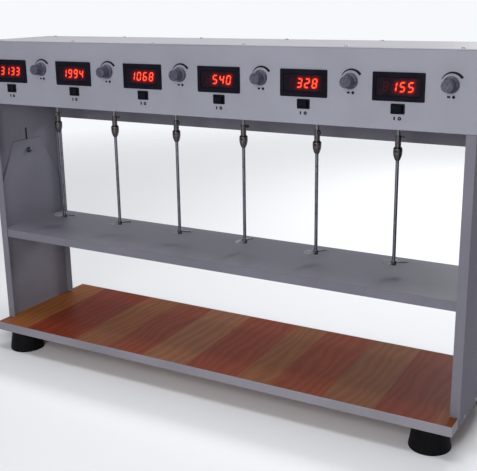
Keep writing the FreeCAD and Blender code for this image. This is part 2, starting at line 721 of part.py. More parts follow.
# Motors: sealed cans that stand on the tray, boss down through it, each held by two screws from below
motors = []
motor_screws = []
for station in STATIONS:
    x = spindle_x(station)
    can = fuse(f"motor_blank_{station}", [
        rod(f"motor_can_{station}", "motor_radius", "motor_length", x, SPINDLE_Y, PLATE_TOP),
        rod(f"motor_cap_{station}", "motor_cap_radius", "motor_cap_height", x, SPINDLE_Y,
            f"{PLATE_TOP} + motor_length"),
        rod(f"motor_boss_{station}", "motor_boss_radius", "motor_plate_sheet + motor_boss_drop", x,
            SPINDLE_Y, f"{PLATE_BOTTOM} - motor_boss_drop"),
    ])
    holes = [rod(f"motor_bore_{station}", "shaft_radius + running_fit", "shaft_in_motor + motor_boss_drop",
                 x, SPINDLE_Y, f"{PLATE_BOTTOM} - motor_boss_drop")]
    for sign, letter in motor_screw_sides:
        name = f"{station}{letter}"
        screw_x = f"({x} {sign} motor_screw_circle)"
        holes.append(rod(f"motor_thread_{name}", "screw_radius", "screw_length", screw_x, SPINDLE_Y,
                         PLATE_BOTTOM))
        motor_screws.append(pan_screw(f"motor_screw_{name}", screw_x, SPINDLE_Y, PLATE_BOTTOM, "+Z",
                                      "screw_length"))
    motors.append(cut(f"motor_{station}", can, holes))
subpart("motors", group("motor_set", motors))
subpart("motor_screws", group("motor_screw_set", motor_screws))

# Spindles: the shaft of each motor, which runs in the motor and ends in the collar of its chuck
for station in STATIONS:
    shaft_bottom = f"({CHUCK_TOP} - shaft_in_collar)"
    subpart(f"spindle_{station}", rod(f"shaft_{station}", "shaft_radius",
                                      f"{PLATE_BOTTOM} + shaft_in_motor - running_fit - {shaft_bottom}",
                                      spindle_x(station), SPINDLE_Y, shaft_bottom))

# Chucks: a collar for the shaft above, and an egg shaped grip for the stirrer rod below
for station in STATIONS:
    chuck = doc.addObject("PartDesign::Body", f"chuck_body_{station}")
    bore = "(shaft_radius + grip_fit)"
    rod_bore = "(rod_radius + grip_fit)"
    step_down = "(0 - collar_length)"
    barrel_top = "(0 - collar_length - shoulder_length)"
    barrel_end = f"({barrel_top} - barrel_length)"
    nose_end = f"({barrel_end} - nose_length)"
    outline = polygon_sketch(chuck, f"chuck_outline_{station}", "XZ_Plane", [
        (bore, "0"), ("collar_radius - collar_edge", "0"), ("collar_radius", "0 - collar_edge"),
        ("collar_radius", step_down), ("shoulder_radius", step_down),
        ("chuck_radius", barrel_top), ("chuck_radius", barrel_end),
        ("nose_upper_radius", f"{barrel_end} - nose_upper_drop"),
        ("nose_lower_radius", f"{barrel_end} - nose_lower_drop"),
        ("nose_radius", nose_end), (rod_bore, nose_end),
        (rod_bore, "0 - shaft_in_collar - chuck_chamber"), (bore, "0 - shaft_in_collar - chuck_chamber")])
    turned = revolve(chuck, f"chuck_turned_{station}", outline)
    doc.recompute()
    key_sketch = circle_sketch(chuck, f"key_outline_{station}", "XZ_Plane", "key_hole_radius", "0",
                               f"{barrel_top} - barrel_length / 2")
    key_hole = chuck.newObject("PartDesign::Pocket", f"key_hole_{station}")
    key_hole.Profile = key_sketch
    key_hole.Midplane = True
    key_hole.setExpression("Length", bound("4 * chuck_radius"))
    doc.recompute()
    keys = chuck.newObject("PartDesign::PolarPattern", f"key_holes_{station}")
    keys.Originals = [key_hole]
    keys.Axis = (outline, ["V_Axis"])
    keys.Angle = 90.0
    keys.Occurrences = 2
    chuck.Tip = keys
    place(chuck, spindle_x(station), SPINDLE_Y, CHUCK_TOP)
    tapped = group(f"thumb_hole_{station}", [rod(f"thumb_hole_bar_{station}", "thumb_stem_radius",
                                                 "collar_radius + thumb_screw_gap", "0", "0", "0", "+X")])
    place(tapped, spindle_x(station), SPINDLE_Y, THUMB_Z, turn=f"thumb_turn_{station}")
    subpart(f"chuck_{station}", cut(f"chuck_cut_{station}", chuck, [tapped]))

# Thumb screws: knurled heads that clamp each collar to its shaft
for station in STATIONS:
    start = "(shaft_radius + grip_fit)"
    head_start = "(collar_radius + thumb_screw_gap)"
    head_length = "(thumb_screw_head - thumb_screw_edge)"
    stem = rod(f"thumb_stem_{station}", "thumb_stem_radius", f"{head_start} + thumb_screw_edge - {start}",
               start, "0", "0", "+X")
    head = rod(f"thumb_head_{station}", "thumb_screw_radius", head_length, head_start, "0", "0", "+X")
    crown = cone(f"thumb_crown_{station}", "thumb_screw_radius", "thumb_screw_radius - thumb_screw_edge",
                 "thumb_screw_edge", f"{head_start} + {head_length}", "0", "0", "+X")
    screw = fuse(f"thumb_{station}", [stem, head, crown])
    subpart(f"thumb_screw_{station}", place(screw, spindle_x(station), SPINDLE_Y, THUMB_Z,
                                            turn=f"thumb_turn_{station}"))

# Stirrers: a straight rod with a hub and two pitched blades at its foot
for station in STATIONS:
    tip_z = f"({SHELF_TOP} + tip_height_{station})"
    chuck_foot = f"({CHUCK_TOP} - collar_length - shoulder_length - barrel_length - nose_length)"
    bar = rod(f"rod_bar_{station}", "rod_radius", f"{chuck_foot} + rod_in_chuck - {tip_z}", "0", "0", "0")
    hub = rod(f"rod_hub_{station}", "hub_radius", "hub_length", "0", "0", "0")
    blades = []
    for side, angle in (("near", "blade_pitch"), ("far", "0 - blade_pitch")):
        sign = "0 -" if side == "near" else "0 +"
        half = "(blade_span / 2 - blade_width / 2)"
        slab = fuse(f"blade_{side}_{station}", [
            box(f"blade_slab_{side}_{station}", half, "blade_width", "blade_thickness",
                "0" if side == "far" else f"0 - {half}", "0 - blade_width / 2", "0 - blade_thickness / 2"),
            rod(f"blade_tip_{side}_{station}", "blade_width / 2", "blade_thickness", f"{sign} {half}", "0",
                "0 - blade_thickness / 2")])
        pitched = FreeCAD.Rotation(X_AXIS, float(sheet.blade_pitch))
        slab.Placement = FreeCAD.Placement(FreeCAD.Vector(), pitched)
        slab.setExpression("Placement.Rotation.Axis.x", "1")
        slab.setExpression("Placement.Rotation.Angle", bound(angle))
        slab.setExpression("Placement.Base.z", bound("hub_length / 2"))
        blades.append(slab)
    stirrer = fuse(f"stirrer_shape_{station}", [bar, hub] + blades)
    subpart(f"stirrer_{station}", place(stirrer, spindle_x(station), SPINDLE_Y, tip_z,
                                        turn=f"stirrer_turn_{station}"))

# Shelf: a folded tray between the flanges of the side panels, with an ear turned up at each end
shelf_half = f"({INSIDE} - shelf_side_gap)"
shelf_depth = "(frame_depth - 2 * sheet - 2 * shelf_side_gap)"
shelf_front = f"({FRONT} + sheet + shelf_side_gap)"
shelf_pieces = [
    box("shelf_top", f"2 * {shelf_half}", shelf_depth, "sheet", f"0 - {shelf_half}", shelf_front,
        f"{SHELF_TOP} - sheet"),
    box("shelf_front_lip", f"2 * {shelf_half}", "sheet", "shelf_lip", f"0 - {shelf_half}", shelf_front,
        f"{SHELF_TOP} - shelf_lip"),
    box("shelf_rear_lip", f"2 * {shelf_half}", "sheet", "shelf_lip", f"0 - {shelf_half}",
        f"{shelf_front} + {shelf_depth} - sheet", f"{SHELF_TOP} - shelf_lip"),
]
for side in ("left", "right"):
    ear = doc.addObject("PartDesign::Body", f"{side}_ear")
    shoulder = f"({shelf_depth} / 2 - ear_inset)"
    ear_outline = polygon_sketch(ear, f"{side}_ear_outline", "YZ_Plane", [
        (f"0 - {shoulder}", "0 - sheet"), (shoulder, "0 - sheet"), (shoulder, "ear_shoulder"),
        ("ear_top_width / 2", "ear_height"), ("0 - ear_top_width / 2", "ear_height"),
        (f"0 - {shoulder}", "ear_shoulder")])
    ear_pad = ear.newObject("PartDesign::Pad", f"{side}_ear_pad")
    ear_pad.Profile = ear_outline
    ear_pad.setExpression("Length", bound("sheet"))
    place(ear, f"0 - {shelf_half}" if side == "left" else f"{shelf_half} - sheet",
          f"{shelf_front} + {shelf_depth} / 2", SHELF_TOP)
    shelf_pieces.append(ear)
shelf_folded = fuse("shelf_folded", shelf_pieces)
shelf_bent = round_edges(
    "shelf_bent", shelf_folded, float(sheet.bend),
    lambda middle, direction, extent: abs(direction.x) > ALONG_AXIS and middle.z > extent.ZMin + ON_FACE
    and min(abs(middle.y - extent.YMin), abs(middle.y - extent.YMax)) < ON_FACE)
shelf_holes = [rod(f"{side}_ear_hole", "clamp_radius + grip_fit", "3 * sheet",
                   side_x(side, "0", "3 * sheet"), SPINDLE_Y, EAR_HOLE, "+X") for side in ("left", "right")]
subpart("shelf", cut("shelf_shape", shelf_bent, shelf_holes))

# Clamp screws through each ear and slot, with a backing plate over the slot and a nut outside the panel
clamp_screws = []
clamp_nuts = []
for side in ("left", "right"):
    outward = "-X" if side == "left" else "+X"
    sign = "0 -" if side == "left" else "0 +"
    ear_face = f"({shelf_half} - sheet)"
    reach = f"({OUTSIDE} + backing_sheet + clamp_nut_height + clamp_end - {ear_face})"
    start = f"{sign} {ear_face}"
    shank = rod(f"{side}_clamp_shank", "clamp_radius", reach, start, SPINDLE_Y, EAR_HOLE, outward)
    head = cone(f"{side}_clamp_head", "clamp_head_radius", "clamp_crown_radius", "clamp_head_height", start,
                SPINDLE_Y, EAR_HOLE, BACK[outward])
    whole = fuse(f"{side}_clamp_blank", [shank, head])
    drive_start = f"({ear_face} - clamp_head_height)"
    drive = box(f"{side}_clamp_drive", "clamp_drive_depth", "2 * clamp_head_radius", "clamp_drive_width",
                f"0 - {drive_start} - clamp_drive_depth" if side == "left" else drive_start,
                f"{SPINDLE_Y} - clamp_head_radius", f"{EAR_HOLE} - clamp_drive_width / 2")
    clamp_screws.append(cut(f"{side}_clamp", whole, [drive]))
    backing_start = f"{sign} {OUTSIDE}"
    backing_low = f"0 - {OUTSIDE} - backing_sheet" if side == "left" else OUTSIDE
    backing = box(f"{side}_backing_blank", "backing_sheet", "backing_width", "backing_tall", backing_low,
                  f"{SPINDLE_Y} - backing_width / 2", f"{EAR_HOLE} - backing_tall / 2")
    nut_start = f"{sign} ({OUTSIDE} + backing_sheet)"
    nut = hexagon(f"{side}_nut_blank", "clamp_nut_radius", "clamp_nut_height", nut_start, SPINDLE_Y,
                  EAR_HOLE, outward)
    for label, blank, from_x in (("backing", backing, backing_start), ("nut", nut, nut_start)):
        hole = rod(f"{side}_{label}_hole", "clamp_radius", "clamp_nut_height", from_x, SPINDLE_Y, EAR_HOLE,
                   outward)
        clamp_nuts.append(cut(f"{side}_{label}", blank, [hole]))
subpart("clamp_screws", group("clamp_screw_set", clamp_screws))
subpart("clamp_nuts", group("clamp_nut_set", clamp_nuts))

# Panel meters: a moulded case whose bezel stands on the fascia, with a tinted window let into it
meter_cases = []
meter_windows = []
for station in STATIONS:
    x = meter_x(station)
    bezel_y = f"{FRONT} - meter_proud"
    bezel = middle_box(f"bezel_{station}", "meter_width", "meter_proud", "meter_tall", x, bezel_y, METER_Z)
    case = middle_box(f"case_{station}", "meter_body_width", "meter_depth", "meter_body_tall", x, FRONT,
                      METER_Z)
    moulded = fuse(f"meter_blank_{station}", [bezel, case])
    recess = middle_box(f"recess_{station}", "window_width", "window_recess + window_thickness",
                        "window_tall", x, bezel_y, METER_Z)
    meter_cases.append(cut(f"meter_{station}", moulded, [recess]))
    meter_windows.append(middle_box(f"window_{station}", "window_width", "window_thickness", "window_tall",
                                    x, f"{bezel_y} + window_recess", METER_Z))
subpart("meter_cases", group("meter_case_set", meter_cases))
subpart("meter_windows", group("meter_window_set", meter_windows))

# Rocker switches: a frame snapped into the fascia, and a rocker that tips about an upright pin
switch_frames = []
PIVOT_Y = f"({FRONT} + rocker_pivot_depth)"
mouth_width = "(switch_body_width - 2 * switch_wall)"
mouth_tall = "(switch_body_tall - 2 * switch_wall)"
for station in STATIONS:
    x = meter_x(station)
    blank = fuse(f"switch_blank_{station}", [
        middle_box(f"switch_rim_{station}", "switch_width", "switch_proud", "switch_tall", x,
                   f"{FRONT} - switch_proud", SWITCH_Z),
        middle_box(f"switch_case_{station}", "switch_body_width", "switch_depth", "switch_body_tall", x,
                   FRONT, SWITCH_Z)])
    mouth = middle_box(f"switch_mouth_{station}", mouth_width, "switch_proud + switch_depth - switch_wall",
                       mouth_tall, x, f"{FRONT} - switch_proud", SWITCH_Z)
    pin_hole = rod(f"pin_hole_{station}", "rocker_pin_radius + running_fit",
                   f"{mouth_tall} + 2 * rocker_pin_hole", x, PIVOT_Y,
                   f"{SWITCH_Z} - {mouth_tall} / 2 - rocker_pin_hole")
    switch_frames.append(cut(f"switch_{station}", blank, [mouth, pin_hole]))
subpart("switch_frames", group("switch_frame_set", switch_frames))

for station in STATIONS:
    rocker = doc.addObject("PartDesign::Body", f"rocker_body_{station}")
    half = f"({mouth_width} / 2 - rocker_gap - rocker_corner)"
    front_edge = "(0 - rocker_pivot_depth - switch_proud - rocker_rise)"
    back_edge = "(rocker_pivot_depth + rocker_back)"
    outline = polygon_sketch(rocker, f"rocker_outline_{station}", "XY_Plane", [
        (f"0 - {half}", front_edge), ("0", f"{front_edge} + rocker_dish"), (half, front_edge), (half, "0"),
        ("rocker_heel", back_edge), ("0 - rocker_heel", back_edge), (f"0 - {half}", "0")])
    pad = rocker.newObject("PartDesign::Pad", f"rocker_pad_{station}")
    pad.Profile = outline
    pad.Midplane = True
    pad.setExpression("Length", bound(f"{mouth_tall} - 2 * rocker_gap"))
    doc.recompute()
    pin_sketch = circle_sketch(rocker, f"rocker_pin_outline_{station}", "XY_Plane", "rocker_pin_radius", "0",
                               "0")
    pin = rocker.newObject("PartDesign::Pad", f"rocker_pin_{station}")
    pin.Profile = pin_sketch
    pin.Midplane = True
    pin.setExpression("Length", bound(f"{mouth_tall} + 2 * rocker_pin_bite"))
    rocker.Tip = pin
    subpart(f"rocker_{station}", place(rocker, meter_x(station), PIVOT_Y, SWITCH_Z, turn="0 - rocker_tilt"))

# Controls behind the fascia: a potentiometer with bush and nut, and the small board it carries
controls = []
boards = []
for station in STATIONS:
    x = knob_x(station)
    back = f"({FRONT} + sheet)"
    blank = fuse(f"control_blank_{station}", [
        rod(f"control_can_{station}", "control_body_radius", "control_body_depth", x, back, KNOB_Z, "+Y"),
        rod(f"control_bush_{station}", "control_bush_radius", "sheet + control_nut_height", x,
            f"{FRONT} - control_nut_height", KNOB_Z, "+Y")])
    bore = rod(f"control_bore_{station}", "control_shaft_radius + running_fit",
               "sheet + control_nut_height + control_bore_depth", x, f"{FRONT} - control_nut_height", KNOB_Z,
               "+Y")
    controls.append(cut(f"control_{station}", blank, [bore]))
    nut = hexagon(f"control_nut_blank_{station}", "control_nut_radius", "control_nut_height", x, FRONT,
                  KNOB_Z, "-Y")
    nut_hole = rod(f"control_nut_hole_{station}", "control_bush_radius", "control_nut_height", x, FRONT,
                   KNOB_Z, "-Y")
    controls.append(cut(f"control_nut_{station}", nut, [nut_hole]))
    board_y = f"({back} + control_body_depth)"
    boards.append(fuse(f"control_board_{station}", [
        middle_box(f"board_plate_{station}", "board_wide", "board_sheet", "board_tall", x, board_y, KNOB_Z),
        rod(f"board_capacitor_{station}", "capacitor_radius", "capacitor_length", f"{x} + chip_offset",
            f"{board_y} + board_sheet", f"{KNOB_Z} + chip_rise", "+Y"),
        middle_box(f"board_driver_{station}", "driver_width", "driver_depth", "driver_tall",
                   f"({x} - chip_offset)", f"{board_y} + board_sheet", f"({KNOB_Z} - chip_rise)")]))
subpart("potentiometers", group("control_set", controls))
subpart("control_boards", group("control_board_set", boards))

# Speed knobs: a bevelled skirt and a long fluted grip moulded in one, on the control's shaft
for station in STATIONS:
    knob = doc.addObject("PartDesign::Body", f"knob_body_{station}")
    skirt_top = "(knob_lift + knob_skirt_thickness)"
    outline = polygon_sketch(knob, f"knob_outline_{station}", "XZ_Plane", [
        ("knob_recess_radius", "knob_lift"), ("knob_skirt_radius", "knob_lift"),
        ("knob_skirt_radius", f"{skirt_top} - knob_bevel_height"),
        ("knob_skirt_radius - knob_bevel", skirt_top),
        ("knob_grip_radius + knob_step", skirt_top), ("knob_grip_radius", f"{skirt_top} + knob_step"),
        ("knob_grip_radius - knob_draft", "knob_length - knob_edge"),
        ("knob_grip_radius - knob_draft - knob_edge", "knob_length"), ("0", "knob_length"),
        ("0", "knob_recess_depth + control_shaft_grip"),
        ("control_shaft_radius + grip_fit", "knob_recess_depth + control_shaft_grip"),
        ("control_shaft_radius + grip_fit", "knob_recess_depth"),
        ("knob_recess_radius", "knob_recess_depth")])
    turned = revolve(knob, f"knob_turned_{station}", outline)
    doc.recompute()
    flute_sketch = circle_sketch(knob, f"flute_outline_{station}", "XY_Plane", "knob_flute_depth * 2",
                                 "knob_grip_radius + knob_flute_depth", "0")
    flute_sketch.setExpression("AttachmentOffset.Base.z", bound(skirt_top))
    flute = knob.newObject("PartDesign::Pocket", f"flute_{station}")
    flute.Profile = flute_sketch
    flute.Reversed = True
    flute.Type = 0
    flute.setExpression("Length", bound("knob_length + 1"))
    doc.recompute()
    flutes = knob.newObject("PartDesign::PolarPattern", f"flutes_{station}")
    flutes.Originals = [flute]
    flutes.Axis = (outline, ["V_Axis"])
    flutes.Angle = 360.0
    flutes.setExpression("Occurrences", bound("knob_flutes"))
    knob.Tip = flutes
    shaft = rod(f"control_shaft_{station}", "control_shaft_radius",
                "knob_recess_depth + control_shaft_grip + sheet + control_shaft_depth", "0", "0",
                "0 - sheet - control_shaft_depth")
    pair = group(f"knob_pair_{station}", [knob, shaft])
    pair.Placement = FreeCAD.Placement(FreeCAD.Vector(), ALONG["-Y"])
    subpart(f"speed_knob_{station}", place(pair, knob_x(station), FRONT, KNOB_Z, "-Y"))

# Transformer at the right hand end of the head, which is why the spindles stand left of the middle
transformer_x = f"({INSIDE} - transformer_inset - transformer_width / 2)"
transformer_z = f"({PLATE_TOP} + transformer_tall / 2)"
core = middle_box("transformer_core", "transformer_width", "transformer_depth", "transformer_tall",
                  transformer_x, f"{SPINDLE_Y} - transformer_depth / 2", transformer_z)
coil = middle_box("transformer_coil", "coil_width", "coil_depth", "coil_tall", transformer_x,
                  f"{SPINDLE_Y} - coil_depth / 2", transformer_z)
subpart("transformer", fuse("transformer_shape", [core, coil]))

# Mains inlet in the rear wall: a flanged socket with three pins
inlet_blank = fuse("inlet_blank", [
    middle_box("inlet_rim", "inlet_width", "inlet_flange", "inlet_tall", INLET_X, REAR, INLET_Z),
    middle_box("inlet_case", "inlet_body_width", "inlet_depth", "inlet_body_tall", INLET_X,
               f"{REAR} - inlet_depth", INLET_Z)])
inlet_back = f"{REAR} - inlet_depth + inlet_floor"
inlet_mouth = middle_box("inlet_mouth", "inlet_body_width - 2 * inlet_wall",
                         "inlet_depth + inlet_flange - inlet_floor", "inlet_body_tall - 2 * inlet_wall",
                         INLET_X, inlet_back, INLET_Z)
inlet_shell = cut("inlet_shell", inlet_blank, [inlet_mouth])
pin_spots = (("left", "- 1", "- 1"), ("middle", "+ 0", "+ 1"), ("right", "+ 1", "- 1"))
inlet_pins = [middle_box(f"inlet_pin_{name}", "inlet_pin_sheet", "inlet_pin_length", "inlet_pin_tall",
                         f"({INLET_X} {across} * inlet_pin_spacing)", inlet_back,
                         f"({INLET_Z} {rise} * inlet_pin_rise)") for name, across, rise in pin_spots]
subpart("power_inlet", fuse("inlet_shape", [inlet_shell] + inlet_pins))

doc.recompute()
for obj in doc.Objects:
    if "Invalid" in obj.State or "Error" in obj.State:
        raise ValueError(f"{obj.Name} failed: {obj.State}")
for node, obj in parts.items():
    shape = obj.Shape
    if shape.isNull() or not shape.isValid():
        raise ValueError(f"{node} has no valid shape")
    if any(solid.Volume <= 0 for solid in shape.Solids) or not shape.Solids:
        raise ValueError(f"{node} holds no solid")

os.makedirs("parts", exist_ok=True)
for node, obj in parts.items():
    obj.Shape.exportStep(f"parts/{node}.step")
print(f"{len(parts)} sub-parts written")
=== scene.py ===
import bmesh
import bpy
import numpy as np
from mathutils import Matrix, Vector


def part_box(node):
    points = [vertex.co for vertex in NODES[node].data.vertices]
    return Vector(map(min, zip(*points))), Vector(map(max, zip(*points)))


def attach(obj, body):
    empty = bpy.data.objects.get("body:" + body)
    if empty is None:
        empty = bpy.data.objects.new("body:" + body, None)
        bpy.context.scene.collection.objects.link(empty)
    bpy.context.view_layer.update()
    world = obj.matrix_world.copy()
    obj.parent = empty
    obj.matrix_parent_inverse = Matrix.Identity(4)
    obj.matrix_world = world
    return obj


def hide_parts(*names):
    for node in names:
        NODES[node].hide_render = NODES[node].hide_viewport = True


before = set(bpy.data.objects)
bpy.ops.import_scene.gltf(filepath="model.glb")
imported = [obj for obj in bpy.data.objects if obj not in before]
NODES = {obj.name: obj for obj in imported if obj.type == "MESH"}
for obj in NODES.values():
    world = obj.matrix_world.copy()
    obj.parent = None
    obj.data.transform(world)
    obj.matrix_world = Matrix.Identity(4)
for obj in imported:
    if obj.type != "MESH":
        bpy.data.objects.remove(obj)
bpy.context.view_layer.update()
STATIONS = range(1, 7)


# The studio: a pale floor that fades into a white surround, a lamp at the front right, a weaker one in the
# middle, one overhead and one behind. The camera stands to the right and looks down.
def add(tree, kind, inputs=None, **settings):
    """One shader node. Each input is a plain value or another node's output."""
    made = tree.nodes.new(kind)
    for name, value in settings.items():
        setattr(made, name, value)
    for name, value in (inputs or {}).items():
        if isinstance(value, bpy.types.NodeSocket):
            tree.links.new(value, made.inputs[name])
        else:
            made.inputs[name].default_value = value
    return made


def tree_of(material):
    """Clears a material's nodes and returns its tree with a Principled shader wired to the output."""
    material.use_nodes = True
    tree = material.node_tree
    tree.nodes.clear()
    out = tree.nodes.new("ShaderNodeOutputMaterial")
    shader = tree.nodes.new("ShaderNodeBsdfPrincipled")
    tree.links.new(shader.outputs[0], out.inputs[0])
    return tree, shader


def colour(red, green, blue):
    """A screen colour from 0 to 255 as the linear value that a shader takes."""
    screen = np.array([red, green, blue]) / 255.0
    linear = np.where(screen <= 0.04045, screen / 12.92, ((screen + 0.055) / 1.055) ** 2.4)
    return (*linear.tolist(), 1.0)


def steps(tree, value, low, high, from_low=0.0, from_high=1.0):
    """A value scaled from one range to another and kept inside it."""
    return add(tree, "ShaderNodeMapRange", {0: value, 1: from_low, 2: from_high, 3: low, 4: high}).outputs[0]


def shell(name, points, faces, material, merge=False):
    """One object from points and faces, with its normals turned outwards. Doubles are merged where asked."""
    mesh = bpy.data.meshes.new(name)
    mesh.from_pydata(points.reshape(-1, 3).tolist(), [], faces)
    mesh.materials.append(material)
    shaped = bmesh.new()
    shaped.from_mesh(mesh)
    if merge:
        bmesh.ops.remove_doubles(shaped, verts=shaped.verts, dist=1e-6)
    bmesh.ops.recalc_face_normals(shaped, faces=shaped.faces)
    shaped.to_mesh(mesh)
    shaped.free()
    piece = bpy.data.objects.new(name, mesh)
    bpy.context.scene.collection.objects.link(piece)
    return piece


def surface(name, points, material, ends=False):
    """A surface from a grid of points: rows run along the shape, columns go round it, and each cell is one
    face. Ends are closed by one face each where asked."""
    index = np.arange(points.shape[0] * points.shape[1]).reshape(points.shape[:2])
    far = np.roll(index, -1, axis=1)
    cells = np.stack([index[:-1], index[1:], far[1:], far[:-1]], axis=-1).reshape(-1, 4).tolist()
    if ends:
        cells += [index[0].tolist(), index[-1, ::-1].tolist()]
    return shell(name, points, cells, material, merge=True)


FLOOR_TONE = (244, 246, 250)
FADE_START, FADE_END = 1.2, 3.2
floor_paint = bpy.data.materials.new("floor_paint")
floor_tree, floor_shader = tree_of(floor_paint)
floor_place = add(floor_tree, "ShaderNodeTexCoord").outputs["Object"]
floor_reach = add(floor_tree, "ShaderNodeVectorMath", {0: floor_place}, operation="LENGTH").outputs["Value"]
floor_shader.inputs["Base Color"].default_value = colour(*FLOOR_TONE)
floor_shader.inputs["Roughness"].default_value = 0.9
floor_fade = steps(floor_tree, floor_reach, 1.0, 0.0, FADE_START, FADE_END)
floor_tree.links.new(floor_fade, floor_shader.inputs["Alpha"])
floor_radius = np.array([0.0, FADE_START, FADE_END])[:, None]
floor_angle = np.linspace(0, 2 * np.pi, 64, endpoint=False)[None, :]
floor_points = np.stack([floor_radius * np.cos(floor_angle), floor_radius * np.sin(floor_angle),
                         0 * floor_radius * floor_angle], axis=-1)
floor = surface("floor", floor_points, floor_paint)

ROOM_TONE = (1.0, 1.0, 1.0, 1.0)
ROOM_LIGHT = 0.25
BACKDROP_TONE = (0.93, 0.95, 0.98, 1.0)
world = bpy.data.worlds.new("studio")
bpy.context.scene.world = world
world.use_nodes = True
room = world.node_tree
room.nodes.clear()
room_out = room.nodes.new("ShaderNodeOutputWorld")
lit = add(room, "ShaderNodeBackground", {"Color": ROOM_TONE, "Strength": ROOM_LIGHT})
plain = add(room, "ShaderNodeBackground", {"Color": BACKDROP_TONE, "Strength": 1.0})
ray = add(room, "ShaderNodeLightPath")
seen = add(room, "ShaderNodeMath", {0: ray.outputs["Is Camera Ray"], 1: ray.outputs["Is Glossy Ray"]},
           operation="MAXIMUM").outputs[0]
shown = add(room, "ShaderNodeMath", {0: seen, 1: ray.outputs["Is Transmission Ray"]},
            operation="MAXIMUM").outputs[0]
both = add(room, "ShaderNodeMixShader", {0: shown, 1: lit.outputs[0], 2: plain.outputs[0]})
room.links.new(both.outputs[0], room_out.inputs[0])


def lamp(name, place, aim, size, power):
    """A square soft lamp that faces a point."""
    light = bpy.data.lights.new(name, "AREA")
    light.shape = "SQUARE"
    light.size = size
    light.energy = power
    made = bpy.data.objects.new(name, light)
    made.location = place
    made.rotation_mode = "QUATERNION"
    made.rotation_quaternion = (Vector(aim) - Vector(place)).to_track_quat("-Z", "Y")
    bpy.context.scene.collection.objects.link(made)


MIDDLE = (0.0, 0.0, 0.32)
HEAD = (0.0, -0.1, 0.52)
lamp("key_lamp", (0.42, -1.5, 1.0), HEAD, 0.5, 8.0)
lamp("fill_lamp", (0.12, -1.9, 0.7), MIDDLE, 0.6, 7.5)
lamp("top_lamp", (0.0, -0.1, 2.4), MIDDLE, 0.9, 21.0)
lamp("back_lamp", (0.40, 2.2, 1.3), MIDDLE, 0.6, 32.0)

CAMERA_PLACE = (0.7751, -1.2956, 0.6914)
CAMERA_TURN, CAMERA_DIP, CAMERA_TILT = np.radians((30.1026, 15.7335, -0.8502))
LENS = 64.488
forward = np.array([-np.sin(CAMERA_TURN) * np.cos(CAMERA_DIP), np.cos(CAMERA_TURN) * np.cos(CAMERA_DIP),
                    -np.sin(CAMERA_DIP)])
level = np.array([np.cos(CAMERA_TURN), np.sin(CAMERA_TURN), 0.0])
raised = np.cross(level, forward)
right = np.cos(CAMERA_TILT) * level + np.sin(CAMERA_TILT) * raised
up = np.cos(CAMERA_TILT) * raised - np.sin(CAMERA_TILT) * level
camera_data = bpy.data.cameras.new("camera")
camera_data.lens = LENS
camera_data.sensor_width = 36.0
camera = bpy.data.objects.new("camera", camera_data)
camera_turn = Matrix(np.stack([right, up, -forward], axis=1)).to_4x4()
camera.matrix_world = Matrix.Translation(CAMERA_PLACE) @ camera_turn
bpy.context.scene.collection.objects.link(camera)
bpy.context.scene.camera = camera
bpy.context.scene.view_settings.view_transform = "Standard"


# The base board: faced chipboard, 16 mm thick, with a laminate printed as broad planks of red-brown and tan
# wood. The planks run front to back, each with its own tone and grain. It is screwed between the sides.
def ramp(tree, value, stops, kind="EASE"):
    """Colours that follow a value. Stops are pairs of place and colour, in rising order."""
    made = add(tree, "ShaderNodeValToRGB", {"Fac": value})
    made.color_ramp.interpolation = kind
    points = made.color_ramp.elements
    points.remove(points[1])
    points[0].position = stops[0][0]
    points[0].color = stops[0][1]
    for place, tone in stops[1:]:
        points.new(place).color = tone
    return made.outputs["Color"]


def maths(tree, operation, first, second, clamp=False):
    """One step of arithmetic on two values."""
    made = add(tree, "ShaderNodeMath", {0: first, 1: second}, operation=operation, use_clamp=clamp)
    return made.outputs[0]


def vectors(tree, operation, first, second):
    """One step of arithmetic on two vectors."""
    return add(tree, "ShaderNodeVectorMath", {0: first, 1: second}, operation=operation).outputs[0]


def noise(tree, place, scale, detail, **more):
    """A noise of a given scale over a place, as its node."""
    return add(tree, "ShaderNodeTexNoise", {"Vector": place, "Scale": scale, "Detail": detail, **more})


def blend(tree, share, first, second):
    """A colour between two by a share from 0 to 1."""
    return add(tree, "ShaderNodeMix", {0: share, 6: first, 7: second}, data_type="RGBA").outputs[2]


def stretched(tree, place, scale):
    """A place scaled along its three axes."""
    return add(tree, "ShaderNodeMapping", {"Vector": place, "Scale": scale}).outputs[0]


def new_group(name, inputs, outputs):
    """A shader node group with named number inputs and named outputs."""
    made = bpy.data.node_groups.new(name, "ShaderNodeTree")
    for label, value in inputs:
        socket = made.interface.new_socket(label, in_out="INPUT", socket_type="NodeSocketFloat")
        socket.default_value = value
    for label, kind in outputs:
        made.interface.new_socket(label, in_out="OUTPUT", socket_type=kind)
    return made, made.nodes.new("NodeGroupInput"), made.nodes.new("NodeGroupOutput")


def use(tree, made, **values):
    """A node group placed in a material with its own values."""
    node = tree.nodes.new("ShaderNodeGroup")
    node.node_tree = made
    for label, value in values.items():
        node.inputs[label].default_value = value
    return node


def clouds_group():
    """Soft patches over a surface: a noise of a given size, stretched to use the whole range from 0 to 1."""
    made, given, out = new_group("clouds", [("Size", 0.1)], [("Mask", "NodeSocketFloat")])
    place = add(made, "ShaderNodeTexCoord").outputs["Object"]
    scale = maths(made, "DIVIDE", 1.0, given.outputs["Size"])
    broad = noise(made, place, scale, 4.0, Roughness=0.6)
    made.links.new(steps(made, broad.outputs["Fac"], 0.0, 1.0, 0.3, 0.7), out.inputs["Mask"])
    return made


CLOUDS = clouds_group()

